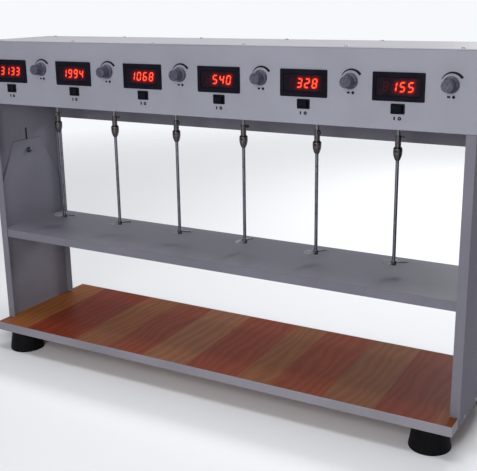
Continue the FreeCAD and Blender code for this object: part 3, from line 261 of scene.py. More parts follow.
# Each plank: its right edge in metres from the middle of the board, its dark tone and its light tone
PLANKS = [
    (-0.396, (112, 66, 36), (140, 86, 50)),
    (-0.274, (96, 36, 22), (123, 53, 36)),
    (-0.196, (105, 61, 37), (134, 84, 56)),
    (-0.114, (101, 46, 32), (130, 66, 48)),
    (-0.020, (110, 68, 48), (139, 93, 68)),
    (0.086, (103, 46, 34), (130, 66, 49)),
    (0.148, (103, 63, 41), (130, 84, 58)),
    (0.244, (99, 44, 31), (125, 65, 46)),
    (0.337, (96, 59, 41), (123, 80, 58)),
    (0.432, (90, 38, 29), (116, 57, 42)),
    (0.480, (99, 53, 32), (121, 72, 46)),
]
BOARD_REACH = 0.48
PLANK_SKEW = np.radians(-2.0)


def laminate():
    """Planks by x: each takes its two tones, and rings of grain drawn out along y mix between them."""
    material = bpy.data.materials.new("board_laminate")
    tree, shader = tree_of(material)
    place = add(tree, "ShaderNodeTexCoord").outputs["Object"]
    skewed = add(tree, "ShaderNodeMapping", {"Vector": place, "Rotation": (0.0, 0.0, PLANK_SKEW)}).outputs[0]
    across = add(tree, "ShaderNodeSeparateXYZ", {"Vector": skewed}).outputs[0]
    along = steps(tree, across, 0.0, 1.0, -BOARD_REACH, BOARD_REACH)
    edges = [0.0] + [(plank[0] + BOARD_REACH) / (2 * BOARD_REACH) for plank in PLANKS[:-1]]
    darks = ramp(tree, along, [(edge, colour(*plank[1])) for edge, plank in zip(edges, PLANKS)], "CONSTANT")
    lights = ramp(tree, along, [(edge, colour(*plank[2])) for edge, plank in zip(edges, PLANKS)], "CONSTANT")
    starts = [(edge, (0.37 * n % 1, 0.61 * n % 1, 0.0, 1.0)) for n, edge in enumerate(edges)]
    moved = vectors(tree, "ADD", place, ramp(tree, along, starts, "CONSTANT"))
    wander = noise(tree, moved, 6.0, 2.0).outputs["Color"]
    swung = vectors(tree, "ADD", moved, vectors(tree, "MULTIPLY", wander, (0.05, 0.09, 0.0)))
    rings = add(tree, "ShaderNodeTexWave",
                {"Vector": stretched(tree, swung, (1.0, 0.2, 1.0)), "Scale": 17.0, "Distortion": 9.0,
                 "Detail": 2.0, "Detail Scale": 1.2}, wave_type="BANDS", bands_direction="X")
    pores = noise(tree, stretched(tree, moved, (1.0, 0.05, 1.0)), 420.0, 3.0).outputs["Fac"]
    patches = use(tree, CLOUDS, Size=0.09).outputs["Mask"]
    ring_part = maths(tree, "MULTIPLY", rings.outputs["Fac"], 0.42)
    patch_part = maths(tree, "MULTIPLY", patches, 0.34)
    pore_part = maths(tree, "MULTIPLY", pores, 0.34)
    grain = maths(tree, "ADD", maths(tree, "ADD", ring_part, patch_part), pore_part, clamp=True)
    tree.links.new(blend(tree, grain, darks, lights), shader.inputs["Base Color"])
    tree.links.new(steps(tree, patches, 0.42, 0.56), shader.inputs["Roughness"])
    bump = add(tree, "ShaderNodeBump", {"Height": pores, "Strength": 0.08, "Distance": 0.0002})
    tree.links.new(bump.outputs[0], shader.inputs["Normal"])
    shader.inputs["Specular IOR Level"].default_value = 0.04
    return material


def finish_node(name, material):
    """Gives a CAD node one material in each of its slots."""
    for slot in NODES[name].material_slots:
        slot.material = material


finish_node("base_board", laminate())


# The edging: a strip of grey plastic glued round the four edges of the board, satin, with small scuffs.
def grain_group():
    """Fine unevenness of a given size and depth, for moulded and sprayed surfaces."""
    made, given, out = new_group("fine_grain", [("Size", 0.001), ("Depth", 0.00002)],
                                 [("Normal", "NodeSocketVector"), ("Height", "NodeSocketFloat")])
    place = add(made, "ShaderNodeTexCoord").outputs["Object"]
    scale = maths(made, "DIVIDE", 1.0, given.outputs["Size"])
    height = noise(made, place, scale, 2.0).outputs["Fac"]
    deep = given.outputs["Depth"]
    bump = add(made, "ShaderNodeBump", {"Height": height, "Strength": 0.5, "Distance": deep})
    made.links.new(bump.outputs[0], out.inputs["Normal"])
    made.links.new(height, out.inputs["Height"])
    return made


GRAIN = grain_group()


def coated(name, dark, light, rough, patch=0.08, grain=0.0011, depth=0.00003, metal=0.0, shine=0.5):
    """A coated or moulded surface: soft patches between two tones, with changes of gloss, and fine grain."""
    material = bpy.data.materials.new(name)
    tree, shader = tree_of(material)
    mask = use(tree, CLOUDS, Size=patch).outputs["Mask"]
    fine = use(tree, GRAIN, Size=grain, Depth=depth)
    speck = steps(tree, fine.outputs["Height"], -0.15, 0.15, 0.3, 0.7)
    tone = blend(tree, maths(tree, "ADD", mask, speck, clamp=True), colour(*dark), colour(*light))
    tree.links.new(tone, shader.inputs["Base Color"])
    tree.links.new(steps(tree, mask, rough - 0.04, rough + 0.05), shader.inputs["Roughness"])
    tree.links.new(fine.outputs["Normal"], shader.inputs["Normal"])
    shader.inputs["Metallic"].default_value = metal
    shader.inputs["Specular IOR Level"].default_value = shine
    return material


finish_node("edge_band", coated("edge_strip", (126, 122, 131), (140, 136, 145), 0.45, patch=0.16,
                                depth=0.00002, shine=0.3))


# The feet: black rubber, wider at the bench, moulded with soft edges and a deep recess for the screw.
# Each is held under the board by one pan head screw that goes up through it.
def smooth(piece, degrees=40.0):
    """Shades a piece smooth except across edges sharper than an angle."""
    mesh = piece.data
    mesh.polygons.foreach_set("use_smooth", np.ones(len(mesh.polygons), dtype=bool))
    mesh.set_sharp_from_angle(angle=np.radians(degrees))
    return piece


def joined(name, pieces):
    """Several pieces of one material made into one mesh, each kept as a closed shell of its own."""
    shaped = bmesh.new()
    whole = bpy.data.meshes.new(name)
    whole.materials.append(pieces[0].data.materials[0])
    for piece in pieces:
        shaped.from_mesh(piece.data)
        bpy.data.objects.remove(piece)
    shaped.to_mesh(whole)
    shaped.free()
    made = bpy.data.objects.new(name, whole)
    bpy.context.scene.collection.objects.link(made)
    return made


def fit(piece, body, slot, *nodes):
    """Lets a finished piece ride on a body and stand for CAD nodes. The slot is not used."""
    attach(piece, body)
    if nodes:
        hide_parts(*nodes)
    return piece


def rounded(corners, radii, count=6):
    """A profile through corners, each rounded: the curve (1-t)^2 A + 2t(1-t) C + t^2 B from A before the
    corner C to B after it, where A and B lie one radius from the corner along its two sides."""
    corner = np.asarray(corners, float)
    radius = np.broadcast_to(np.asarray(radii, float), len(corner))[:, None]
    before = np.roll(corner, 1, axis=0) - corner
    after = np.roll(corner, -1, axis=0) - corner
    before[0] = 0.0
    after[-1] = 0.0
    start = corner + before / np.maximum(np.linalg.norm(before, axis=1, keepdims=True), 1e-9) * radius
    end = corner + after / np.maximum(np.linalg.norm(after, axis=1, keepdims=True), 1e-9) * radius
    t = np.linspace(0, 1, count)[None, :, None]
    curve = (1 - t) ** 2 * start[:, None] + 2 * t * (1 - t) * corner[:, None] + t ** 2 * end[:, None]
    flat = curve.reshape(-1, 2)
    return flat[np.r_[True, np.linalg.norm(np.diff(flat, axis=0), axis=1) > 1e-6]]


def around(axis):
    """The turn that lays a shape built along +Z down along another axis."""
    return np.array(Vector((0, 0, 1)).rotation_difference(Vector(axis)).to_matrix())


def turned(name, profile, centre, material, axis=(0, 0, 1), round_steps=48, change=None):
    """A surface of revolution: radius r(s) and height h(s) turned about an axis through a centre. A change
    is a function of radius, height and angle that gives the radius back with flutes or dents in it."""
    angle = np.linspace(0, 2 * np.pi, round_steps, endpoint=False)[None, :]
    radius = np.repeat(profile[:, :1], round_steps, axis=1)
    height = np.repeat(profile[:, 1:], round_steps, axis=1)
    if change is not None:
        radius = change(radius, height, angle)
    local = np.stack([radius * np.cos(angle), radius * np.sin(angle), height], axis=-1)
    return surface(name, local @ around(axis).T + np.asarray(centre), material)


RUBBER = coated("foot_rubber", (9, 9, 11), (19, 18, 21), 0.55, patch=0.02, grain=0.0008, depth=0.00006,
                shine=0.05)
FOOT_RADIUS, FOOT_TOP_RADIUS, FOOT_BORE = 0.034, 0.027, 0.0026
RECESS_RADIUS, RECESS_DEPTH = 0.009, 0.024
foot_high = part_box("rubber_feet")[1]
FOOT_X, FOOT_Y = foot_high.x - FOOT_RADIUS, foot_high.y - FOOT_RADIUS
FOOT_SPOTS = [(x * FOOT_X, y * FOOT_Y) for x in (-1, 1) for y in (-1, 1)]
foot_corners = rounded([(FOOT_BORE, RECESS_DEPTH), (RECESS_RADIUS, RECESS_DEPTH), (RECESS_RADIUS, 0.0),
                        (FOOT_RADIUS, 0.0), (FOOT_TOP_RADIUS, foot_high.z), (FOOT_BORE, foot_high.z)],
                       [0.0, 0.001, 0.001, 0.003, 0.0015, 0.0])
foot_profile = np.vstack([foot_corners, foot_corners[:1]])
fit(joined("feet", [smooth(turned(f"foot_{number}", foot_profile, (*spot, 0.0), RUBBER, round_steps=72))
                    for number, spot in enumerate(FOOT_SPOTS)]), "case", "foot_rubber", "rubber_feet")


def driven(name, centre, axis, sizes, material, drive="cross", turn=0.0):
    """A screw turned in one piece: the head is h (1 - (r/R)^3)^(1/3) high at radius r, less the depth of its
    drive where a point lies in a cross or a slot through the middle, and the shank runs on behind it. Sizes
    are the head's radius and height and the shank's radius and length."""
    head_radius, head_height, shank_radius, shank_length = sizes
    share = np.sin(np.linspace(0, np.pi / 2, 20))
    head = np.stack([head_radius * share, head_height * (1 - share ** 3) ** (1 / 3)], axis=1)
    shank = rounded([(head_radius, 0.0), (shank_radius, 0.0), (shank_radius, -shank_length),
                     (0.0, -shank_length)], [0.0, 0.0, shank_radius * 0.3, 0.0])
    profile = np.vstack([head, shank[1:]])
    angle = np.linspace(0, 2 * np.pi, 48, endpoint=False)[None, :]
    radius, height = profile[:, :1] + 0 * angle, profile[:, 1:] + 0 * angle
    along, aside = radius * np.cos(angle - turn), radius * np.sin(angle - turn)
    if drive == "cross":
        wide, long, depth = 0.15 * head_radius, 0.56 * head_radius, 0.6 * head_height
    else:
        wide, long, depth = 0.13 * head_radius, 2.0 * head_radius, 0.44 * head_height
    edge = 0.09 * head_radius

    def inside(first, second):
        across = np.clip((wide - np.abs(first)) / edge + 0.5, 0, 1)
        return across * np.clip((long - np.abs(second)) / edge, 0, 1)

    notch = inside(aside, along)
    if drive == "cross":
        notch = np.maximum(notch, inside(along, aside))
    notch[len(head):] = 0.0
    height = np.maximum(height - depth * notch, np.minimum(height, 0.0))
    local = np.stack([radius * np.cos(angle), radius * np.sin(angle), height], axis=-1)
    return smooth(surface(name, local @ around(axis).T + np.asarray(centre), material), 35)


SCREW_STEEL = coated("screw_steel", (120, 120, 124), (150, 149, 152), 0.34, patch=0.004, depth=0.00001,
                     metal=0.9)
FOOT_SCREW = (0.006, 0.003, 0.0024, 0.029)
fit(joined("foot_screw_set", [
    driven(f"foot_screw_{number}", (*spot, RECESS_DEPTH), (0, 0, -1), FOOT_SCREW, SCREW_STEEL,
           turn=0.7 * number)
    for number, spot in enumerate(FOOT_SPOTS)]), "case", "screw_steel", "foot_screws")

# The side panels: tall channels folded from 1.5 mm steel and powder coated in a dull grey. They overlap the
# ends of the board, and a slot in each guides the shelf's clamp screw.
# Their grey is darker than the fascia's: painted shade for faces that get less light than the front.
SIDE_PAINT_WITH_SHADE = coated("side_paint_with_shade", (114, 112, 122), (126, 124, 134), 0.55, patch=0.22, grain=0.0012,
                    depth=0.00004, shine=0.02)
finish_node("left_side_panel", SIDE_PAINT_WITH_SHADE)
finish_node("right_side_panel", SIDE_PAINT_WITH_SHADE)

# The case screws: zinc plated pan heads with a cross drive, through the side panels into the board and the
# head, and through the rear wall into the motor plate.
PAN_HEAD = (0.0032, 0.0018, 0.0015, 0.009)
PAN_HEAD_LONG = (0.0032, 0.0018, 0.0015, 0.018)
rear_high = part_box("rear_panel")[1]
board_low, board_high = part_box("base_board")
plate_low, plate_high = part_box("motor_plate")
face_low, face_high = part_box("front_panel")
FRONT, REAR = face_low.y, rear_high.y
HALF_WIDTH = face_high.x
board_z = (board_low.z + board_high.z) / 2
BOARD_INSET, END_INSET, END_RISE = 0.027, 0.011, 0.085
TRAY_INSET, LIP_HALF, REAR_MARGIN = 0.055, 0.006, 0.056
end_z = face_low.z + END_RISE
tray_z = plate_high.z - LIP_HALF
side_spots = [(FRONT + BOARD_INSET, board_z), ((FRONT + REAR) / 2, board_z), (REAR - BOARD_INSET, board_z),
              (FRONT + END_INSET, end_z), (REAR - END_INSET, end_z),
              (FRONT + TRAY_INSET, tray_z), (REAR - TRAY_INSET, tray_z)]
case_screws = []
for side in (-1, 1):
    for number, (y, z) in enumerate(side_spots):
        kind = PAN_HEAD_LONG if z == board_z else PAN_HEAD
        case_screws.append(driven(f"side_screw_{number}", (side * HALF_WIDTH, y, z), (side, 0, 0), kind,
                                  SCREW_STEEL, turn=0.9 * number + side))
for number, x in enumerate(np.linspace(-HALF_WIDTH + REAR_MARGIN, HALF_WIDTH - REAR_MARGIN, 4)):
    case_screws.append(driven(f"rear_screw_{number}", (x, REAR, plate_low.z + LIP_HALF), (0, 1, 0), PAN_HEAD,
                              SCREW_STEEL, turn=1.3 * number))
fit(joined("case_screw_set", case_screws), "case", "screw_steel", "case_screws")

# The motor plate: a painted tray under the head that carries the motors.
finish_node("motor_plate", SIDE_PAINT_WITH_SHADE)

# The motors: sealed cans of drawn steel in dark grey lacquer, each held from below by two screws.
finish_node("motors", coated("motor_case", (46, 47, 50), (60, 61, 64), 0.4, patch=0.03, depth=0.00002,
                             shine=0.6))
spindle_boxes = [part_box(f"spindle_{station}") for station in STATIONS]
SPINDLES = [((low.x + high.x) / 2, (low.y + high.y) / 2) for low, high in spindle_boxes]
MOTOR_SCREW_SIDE, SHEET = 0.016, 0.0015
fit(joined("motor_screw_set", [
    driven(f"motor_screw_{number}_{side}", (x + side * MOTOR_SCREW_SIDE, y, face_low.z + SHEET), (0, 0, -1),
           PAN_HEAD, SCREW_STEEL, turn=0.8 * number + side)
    for number, (x, y) in enumerate(SPINDLES) for side in (-1, 1)]), "case", "screw_steel", "motor_screws")


# The spindles: the motors' shafts, ground steel, slightly brushed round.
def turned_steel(name, dark, light, rough, lines=0.0004, stain=0.006):
    """Steel worked on a lathe: fine lines round an upright axis, with faint stains and changes of gloss."""
    material = bpy.data.materials.new(name)
    tree, shader = tree_of(material)
    place = add(tree, "ShaderNodeTexCoord").outputs["Object"]
    rings = noise(tree, stretched(tree, place, (0.04, 0.04, 1.0)), 1.0 / lines, 2.0).outputs["Fac"]
    mask = use(tree, CLOUDS, Size=stain).outputs["Mask"]
    half_rings, half_mask = maths(tree, "MULTIPLY", rings, 0.5), maths(tree, "MULTIPLY", mask, 0.5)
    even = maths(tree, "ADD", half_rings, half_mask, clamp=True)
    tree.links.new(blend(tree, even, colour(*dark), colour(*light)), shader.inputs["Base Color"])
    tree.links.new(steps(tree, even, rough - 0.06, rough + 0.08), shader.inputs["Roughness"])
    bump = add(tree, "ShaderNodeBump", {"Height": rings, "Strength": 0.25, "Distance": 0.00002})
    tree.links.new(bump.outputs[0], shader.inputs["Normal"])
    shader.inputs["Metallic"].default_value = 1.0
    return material


SHAFT_STEEL = turned_steel("shaft_steel", (82, 82, 88), (124, 123, 128), 0.3)
for station in STATIONS:
    finish_node(f"spindle_{station}", SHAFT_STEEL)

# The chucks: a collar that slips over the shaft, and below it a round nosed chuck for the stirrer rod.
# Turned steel, blackened and worn, with four key holes round the barrel and a toothed ring over the nose.
CHUCK_STEEL = turned_steel("chuck_steel", (46, 44, 47), (102, 96, 97), 0.34, lines=0.0006, stain=0.003)
CHUCK_TOP = spindle_boxes[0][0].z + 0.015
COLLAR_END, BARREL_TOP, BARREL_END, NOSE_END = 0.0185, 0.0209, 0.0280, 0.0401
KEY_RADIUS, KEY_DEPTH = 0.0013, 0.0022
TEETH, TOOTH_DEPTH = 24, 0.00035
chuck_outside = rounded(
    [(0.0032, 0.0), (0.0049, 0.0), (0.0049, -COLLAR_END), (0.0057, -COLLAR_END), (0.0073, -BARREL_TOP),
     (0.0073, -BARREL_END), (0.0068, -0.0320), (0.0053, -0.0366), (0.0038, -NOSE_END), (0.0029, -NOSE_END)],
    [0.0, 0.0007, 0.0003, 0.0002, 0.0010, 0.0018, 0.0018, 0.0016, 0.0006, 0.0])


def resampled(profile, spacing):
    """The same profile with its points an even distance apart along it."""
    reach = np.r_[0.0, np.cumsum(np.linalg.norm(np.diff(profile, axis=0), axis=1))]
    place = np.linspace(0, reach[-1], int(reach[-1] / spacing) + 1)
    return np.stack([np.interp(place, reach, profile[:, 0]), np.interp(place, reach, profile[:, 1])], axis=1)


def chuck_marks(radius, height, angle):
    """Key holes are dents where the distance to their centre, round and along, is under their radius.
    Teeth lower the barrel's foot by a share of their depth that swings with the angle."""
    quarter = np.mod(angle + np.pi / 4, np.pi / 2) - np.pi / 4
    off = np.hypot(quarter * radius, height + (BARREL_TOP + BARREL_END) / 2)
    hole = np.clip((KEY_RADIUS - off) / 0.0003 + 0.5, 0, 1)
    foot = np.clip(1 - np.abs(height + BARREL_END - 0.0012) / 0.0016, 0, 1) ** 0.5
    teeth = foot * (0.5 + 0.5 * np.sign(np.cos(TEETH * angle)) * np.abs(np.cos(TEETH * angle)) ** 0.5)
    outside = (radius > 0.0045)
    return radius - outside * (KEY_DEPTH * hole + TOOTH_DEPTH * teeth)


chuck_inside = np.array([(0.0029, -NOSE_END), (0.0029, -0.016), (0.0032, -0.016), (0.0032, 0.0)])
chuck_profile = np.vstack([resampled(chuck_outside, 0.0003), chuck_inside[1:]])
for station, (x, y) in zip(STATIONS, SPINDLES):
    chuck = turned(f"chuck_{station}_turned", chuck_profile, (x, y, CHUCK_TOP), CHUCK_STEEL, round_steps=144,
                   change=chuck_marks)
    fit(smooth(chuck, 30), f"stirring_{station}", "chuck_steel", f"chuck_{station}")

# The thumb screws: small knurled heads that clamp each collar to its shaft, each facing its own way.
KNURLS, KNURL_DEPTH = 18, 0.00022
THUMB_RADIUS, THUMB_STEM = 0.003, 0.0014
thumb_profile = np.vstack([[(0.0, 0.0032)], resampled(rounded(
    [(THUMB_STEM, 0.0032), (THUMB_STEM, 0.0053), (THUMB_RADIUS, 0.0053), (THUMB_RADIUS, 0.0099),
     (0.0012, 0.0103), (0.0, 0.0100)], [0.0, 0.0, 0.0005, 0.0006, 0.0003, 0.0]), 0.0002)])


def knurled(radius, height, angle):
    """Straight knurls: the radius drops by a small depth between ridges, on the head's rim only."""
    rim = np.clip((radius - 0.0027) / 0.0002, 0, 1)
    return radius - rim * KNURL_DEPTH * (0.5 - 0.5 * np.cos(KNURLS * angle)) ** 0.7


for station, (x, y) in zip(STATIONS, SPINDLES):
    thumb_low, thumb_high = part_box(f"thumb_screw_{station}")
    middle = (thumb_low + thumb_high) / 2
    facing = Vector((middle.x - x, middle.y - y, 0)).normalized()
    screw = turned(f"thumb_screw_{station}_turned", thumb_profile, (x, y, middle.z), CHUCK_STEEL,
                   axis=facing, round_steps=108, change=knurled)
    fit(smooth(screw, 30), f"stirring_{station}", "chuck_steel", f"thumb_screw_{station}")

# The stirrers: a straight rod of stainless steel with a hub at its foot and two pitched blades of sheet,
# welded to the hub, twisted a little, and set at opposite pitch.
STIRRER_STEEL = turned_steel("stirrer_steel", (66, 67, 76), (110, 111, 120), 0.28, lines=0.0005, stain=0.012)
# The blades' steel is lightened to a pale, half metallic tone: painted sheen for their bright reflections.
BLADE_STEEL_WITH_SHEEN = coated("blade_steel_with_sheen", (144, 142, 148), (166, 163, 168), 0.5, patch=0.006, depth=0.00001,
                     metal=0.4)
STIRRER_TURNS = np.radians((15.0, 40.0, 22.0, 75.0, 52.0, 28.0))
ROD_RADIUS, HUB_RADIUS, HUB_LENGTH = 0.0029, 0.0044, 0.009
BLADE_REACH, BLADE_HALF_WIDTH, BLADE_HALF_SHEET = 0.023, 0.0055, 0.0006
BLADE_PITCH, BLADE_TWIST = np.radians(32.0), np.radians(5.0)


def blade(name, centre, turn, side):
    """A blade: at distance x from the hub its section is a flat rounded bar of half width w(x), where w
    follows the round tip, turned about the blade's length by a pitch that changes towards the tip."""
    reach = BLADE_REACH * np.sin(np.linspace(0.06, np.pi / 2, 40))[:, None]
    around_section = np.linspace(0, 2 * np.pi, 40, endpoint=False)[None, :]
    past = np.clip((reach - (BLADE_REACH - BLADE_HALF_WIDTH)) / BLADE_HALF_WIDTH, 0, 1)
    half = BLADE_HALF_WIDTH * np.sqrt(np.maximum(1 - past ** 2, 0.0004))
    root = 0.55 + 0.45 * np.clip((reach - 0.004) / 0.006, 0, 1)
    wide = half * root * np.sign(np.cos(around_section)) * np.abs(np.cos(around_section)) ** 0.6
    thick = BLADE_HALF_SHEET * np.sign(np.sin(around_section)) * np.abs(np.sin(around_section)) ** 0.4
    pitch = -side * (BLADE_PITCH + BLADE_TWIST * (0.5 - reach / BLADE_REACH))
    local_y = wide * np.cos(pitch) - thick * np.sin(pitch)
    local_z = wide * np.sin(pitch) + thick * np.cos(pitch) + HUB_LENGTH / 2
    local_x = side * reach + 0 * wide
    points = np.stack([local_x * np.cos(turn) - local_y * np.sin(turn),
                       local_x * np.sin(turn) + local_y * np.cos(turn), local_z], axis=-1)
    return smooth(surface(name, points + np.asarray(centre), BLADE_STEEL_WITH_SHEEN, ends=True), 50)


for station, (x, y), turn in zip(STATIONS, SPINDLES, STIRRER_TURNS):
    low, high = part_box(f"stirrer_{station}")
    length = high.z - low.z
    hub_profile = rounded([(0.0, 0.0), (HUB_RADIUS, 0.0), (HUB_RADIUS, HUB_LENGTH), (ROD_RADIUS, HUB_LENGTH),
                           (ROD_RADIUS, length), (0.0, length)], [0.0, 0.001, 0.0009, 0.0004, 0.0008, 0.0])
    centre = (x, y, low.z)
    rod = smooth(turned(f"stirrer_{station}_rod", hub_profile, centre, STIRRER_STEEL), 30)
    fit(rod, f"stirring_{station}", "stirrer_steel", f"stirrer_{station}")
    blades = [blade(f"blade_{side}", centre, turn, side) for side in (-1, 1)]
    fit(joined(f"stirrer_{station}_blades", blades), f"stirring_{station}", "stirrer_steel")

# The shelf: a tray folded from the same steel, with a smoother coat, that jars stand on. Its darker grey
# is painted shade from the head above it. Its ears stand up inside the side panels, and a slotted screw
# clamps each through its slot.
finish_node("shelf", coated("shelf_paint", (110, 109, 120), (122, 121, 132), 0.45, patch=0.2, depth=0.00003,
                            shine=0.08))
shelf_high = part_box("shelf")[1]
clamp_low, clamp_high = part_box("clamp_screws")
clamp_y, clamp_z = (clamp_low.y + clamp_high.y) / 2, (clamp_low.z + clamp_high.z) / 2
ear_face = shelf_high.x - SHEET
CLAMP_SCREW = (0.0054, 0.0070, 0.003, clamp_high.x - ear_face)
CLAMP_STEEL = coated("clamp_steel", (62, 61, 65), (92, 90, 95), 0.38, patch=0.003, depth=0.00001, metal=0.85)
fit(joined("clamp_screw_set", [
    driven(f"clamp_{side}", (side * ear_face, clamp_y, clamp_z), (-side, 0, 0), CLAMP_SCREW, CLAMP_STEEL,
           drive="slot", turn=np.pi / 2) for side in (-1, 1)]), "shelf", "screw_steel", "clamp_screws")


def hexagon_nut(name, centre, axis, radius, length, bore, material):
    """A nut: the radius at an angle is the lesser of the hexagon's and a cone's that chamfers its ends."""
    angle = np.linspace(0, 2 * np.pi, 72, endpoint=False)[None, :]
    sector = np.mod(angle, np.pi / 3) - np.pi / 6
    hexagon = radius * np.cos(np.pi / 6) / np.cos(sector)
    height = np.array([0.0, 0.0, 0.0005, length - 0.0005, length, length, 0.0])[:, None] + 0 * angle
    limit = np.array([bore, radius * 0.9, radius * 1.01, radius * 1.01, radius * 0.9, bore, bore])[:, None]
    outline = np.minimum(limit, hexagon)
    local = np.stack([outline * np.cos(angle), outline * np.sin(angle), height], axis=-1)
    return smooth(surface(name, local @ around(axis).T + np.asarray(centre), material), 25)


CORNER_STEPS = 5


def framed(name, rows, centre, material, side=0):
    """Rounded rectangles carried along a path. Each row is half width w, half height h, corner radius r and
    depth, and a point at angle a of a corner lies at (w - r + r cos a, h - r + r sin a). Ends are closed.
    Depth runs along y, or along x outwards on one side of the jar tester where side is -1 or 1."""
    row = np.asarray(rows, float)
    wide, tall, radius, depth = (row[:, n:n + 1] for n in range(4))
    quarter = np.linspace(0, np.pi / 2, CORNER_STEPS)[None, :]
    angle = (quarter + np.arange(4)[:, None] * np.pi / 2).reshape(1, -1)
    sign_x = np.repeat([1, -1, -1, 1], CORNER_STEPS)[None, :]
    sign_z = np.repeat([1, 1, -1, -1], CORNER_STEPS)[None, :]
    across = sign_x * (wide - radius) + radius * np.cos(angle)
    high = sign_z * (tall - radius) + radius * np.sin(angle)
    depth = depth + 0 * across
    local = [side * depth, across, high] if side else [across, depth, high]
    return smooth(surface(name, np.stack(local, axis=-1) + np.asarray(centre), material, ends=True), 35)


nut_low, nut_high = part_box("clamp_nuts")
NUT_RADIUS, NUT_LENGTH, CLAMP_BORE = 0.0058, 0.005, 0.0031
seat = nut_high.x - NUT_LENGTH - SHEET
plate_half = (nut_high.z - nut_low.z) / 2
backing_rows = [(0.0097, plate_half - 0.0003, 0.0017, 0.0), (0.0100, plate_half, 0.0020, 0.0003),
                (0.0100, plate_half, 0.0020, SHEET - 0.0003), (0.0097, plate_half - 0.0003, 0.0017, SHEET)]
fit(joined("clamp_nut_set", [
    hexagon_nut("nut", (side * (seat + SHEET), clamp_y, clamp_z), (side, 0, 0), NUT_RADIUS, NUT_LENGTH,
                CLAMP_BORE, SCREW_STEEL) for side in (-1, 1)]), "shelf", "screw_steel", "clamp_nuts")
# Backing plates of blackened steel close the slots; their black is also painted shade for the dark slots.
BACKING_BLACK_AND_SHADE = coated("backing_black_and_shade", (26, 26, 30), (40, 39, 43), 0.45, patch=0.02, depth=0.00002,
                       metal=0.5)
fit(joined("backing_plates", [
    framed("plate", backing_rows, (side * seat, clamp_y, clamp_z), BACKING_BLACK_AND_SHADE, side=side)
    for side in (-1, 1)]), "shelf", "screw_steel")

# The head: fascia and rear wall, one folded sheet each over the full width. The fascia has a lighter,
# smoother grey than the sides; the rear wall takes the sides' darker grey, which is painted shade.
CASE_PAINT = coated("case_paint", (138, 139, 150), (149, 150, 162), 0.46, patch=0.22, grain=0.0012,
                    depth=0.00004, shine=0.2)
finish_node("front_panel", CASE_PAINT)
finish_node("rear_panel", SIDE_PAINT_WITH_SHADE)


# The panel meters: a black moulded case snapped into the fascia, whose bezel frames a tinted window.
# Behind the window stand four red figures of seven segments each, which glow through it.
METER_BLACK = coated("meter_black", (20, 19, 27), (29, 27, 37), 0.5, patch=0.03, grain=0.0006, depth=0.00003,
                     shine=0.01)
BEZEL_HALF_WIDTH, BEZEL_HALF_TALL, BEZEL_PROUD = 0.0398, 0.021, 0.0022
meter_low, meter_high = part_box("meter_cases")
window_low, window_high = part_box("meter_windows")
METER_Z = (meter_low.z + meter_high.z) / 2
METER_X = np.linspace(meter_low.x + BEZEL_HALF_WIDTH, meter_high.x - BEZEL_HALF_WIDTH, 6)
bezel_rows = [
    (0.0340, 0.0140, 0.0008, window_high.y - FRONT),
    (0.0340, 0.0140, 0.0008, 0.0003 - BEZEL_PROUD),
    (0.0344, 0.0144, 0.0010, -BEZEL_PROUD),
    (0.0385, 0.0197, 0.0012, -BEZEL_PROUD),
    (0.0393, 0.0205, 0.0014, 0.0002 - BEZEL_PROUD),
    (0.0397, 0.0209, 0.0015, 0.0006 - BEZEL_PROUD),
    (BEZEL_HALF_WIDTH, BEZEL_HALF_TALL, 0.0016, 0.0010 - BEZEL_PROUD),
    (BEZEL_HALF_WIDTH, BEZEL_HALF_TALL, 0.0016, 0.0),
    (0.0378, 0.0190, 0.0008, 0.0),
    (0.0378, 0.0190, 0.0008, 0.0515),
    (0.0373, 0.0185, 0.0008, 0.052),
]
cases = [framed(f"meter_{number}", bezel_rows, (x, FRONT, METER_Z), METER_BLACK)
         for number, x in enumerate(METER_X)]
fit(joined("meter_case_set", cases), "case", "meter_black", "meter_cases")

READINGS = ["3133", "1994", "1068", " 540", " 328", " 155"]
LIT_SEGMENTS = {" ": "", "0": "abcdef", "1": "bc", "2": "abdeg", "3": "abcdg", "4": "bcfg", "5": "acdfg",
                "6": "acdefg", "8": "abcdefg", "9": "abcdfg"}
FIGURE_PITCH, FIGURE_SLANT = 0.0127, np.tan(np.radians(9.0))
FIGURE_HALF_WIDTH, FIGURE_HALF_TALL, STROKE = 0.0033, 0.0064, 0.0010
SEGMENT_GAP = 0.0003
# Each segment: its middle as a share of the half width and half height, and 1 if it stands upright
SEGMENTS = {"a": (0, 1, 0), "b": (1, 0.5, 1), "c": (1, -0.5, 1), "d": (0, -1, 0), "e": (-1, -0.5, 1),
            "f": (-1, 0.5, 1), "g": (0, 0, 0)}


def segment_rows(lit):
    """One row for each lit or dark segment: middle x, middle z, half length along x and along z."""
    rows = []
    for x, reading in zip(METER_X, READINGS):
        for place, figure in enumerate(reading):
            for letter, (across, high, upright) in SEGMENTS.items():
                if (letter in LIT_SEGMENTS[figure]) == lit:
                    half = (FIGURE_HALF_TALL / 2 if upright else FIGURE_HALF_WIDTH) - SEGMENT_GAP
                    rows.append((x + (place - 1.5) * FIGURE_PITCH, across * FIGURE_HALF_WIDTH,
                                 high * FIGURE_HALF_TALL, half, upright))
    return np.array(rows)


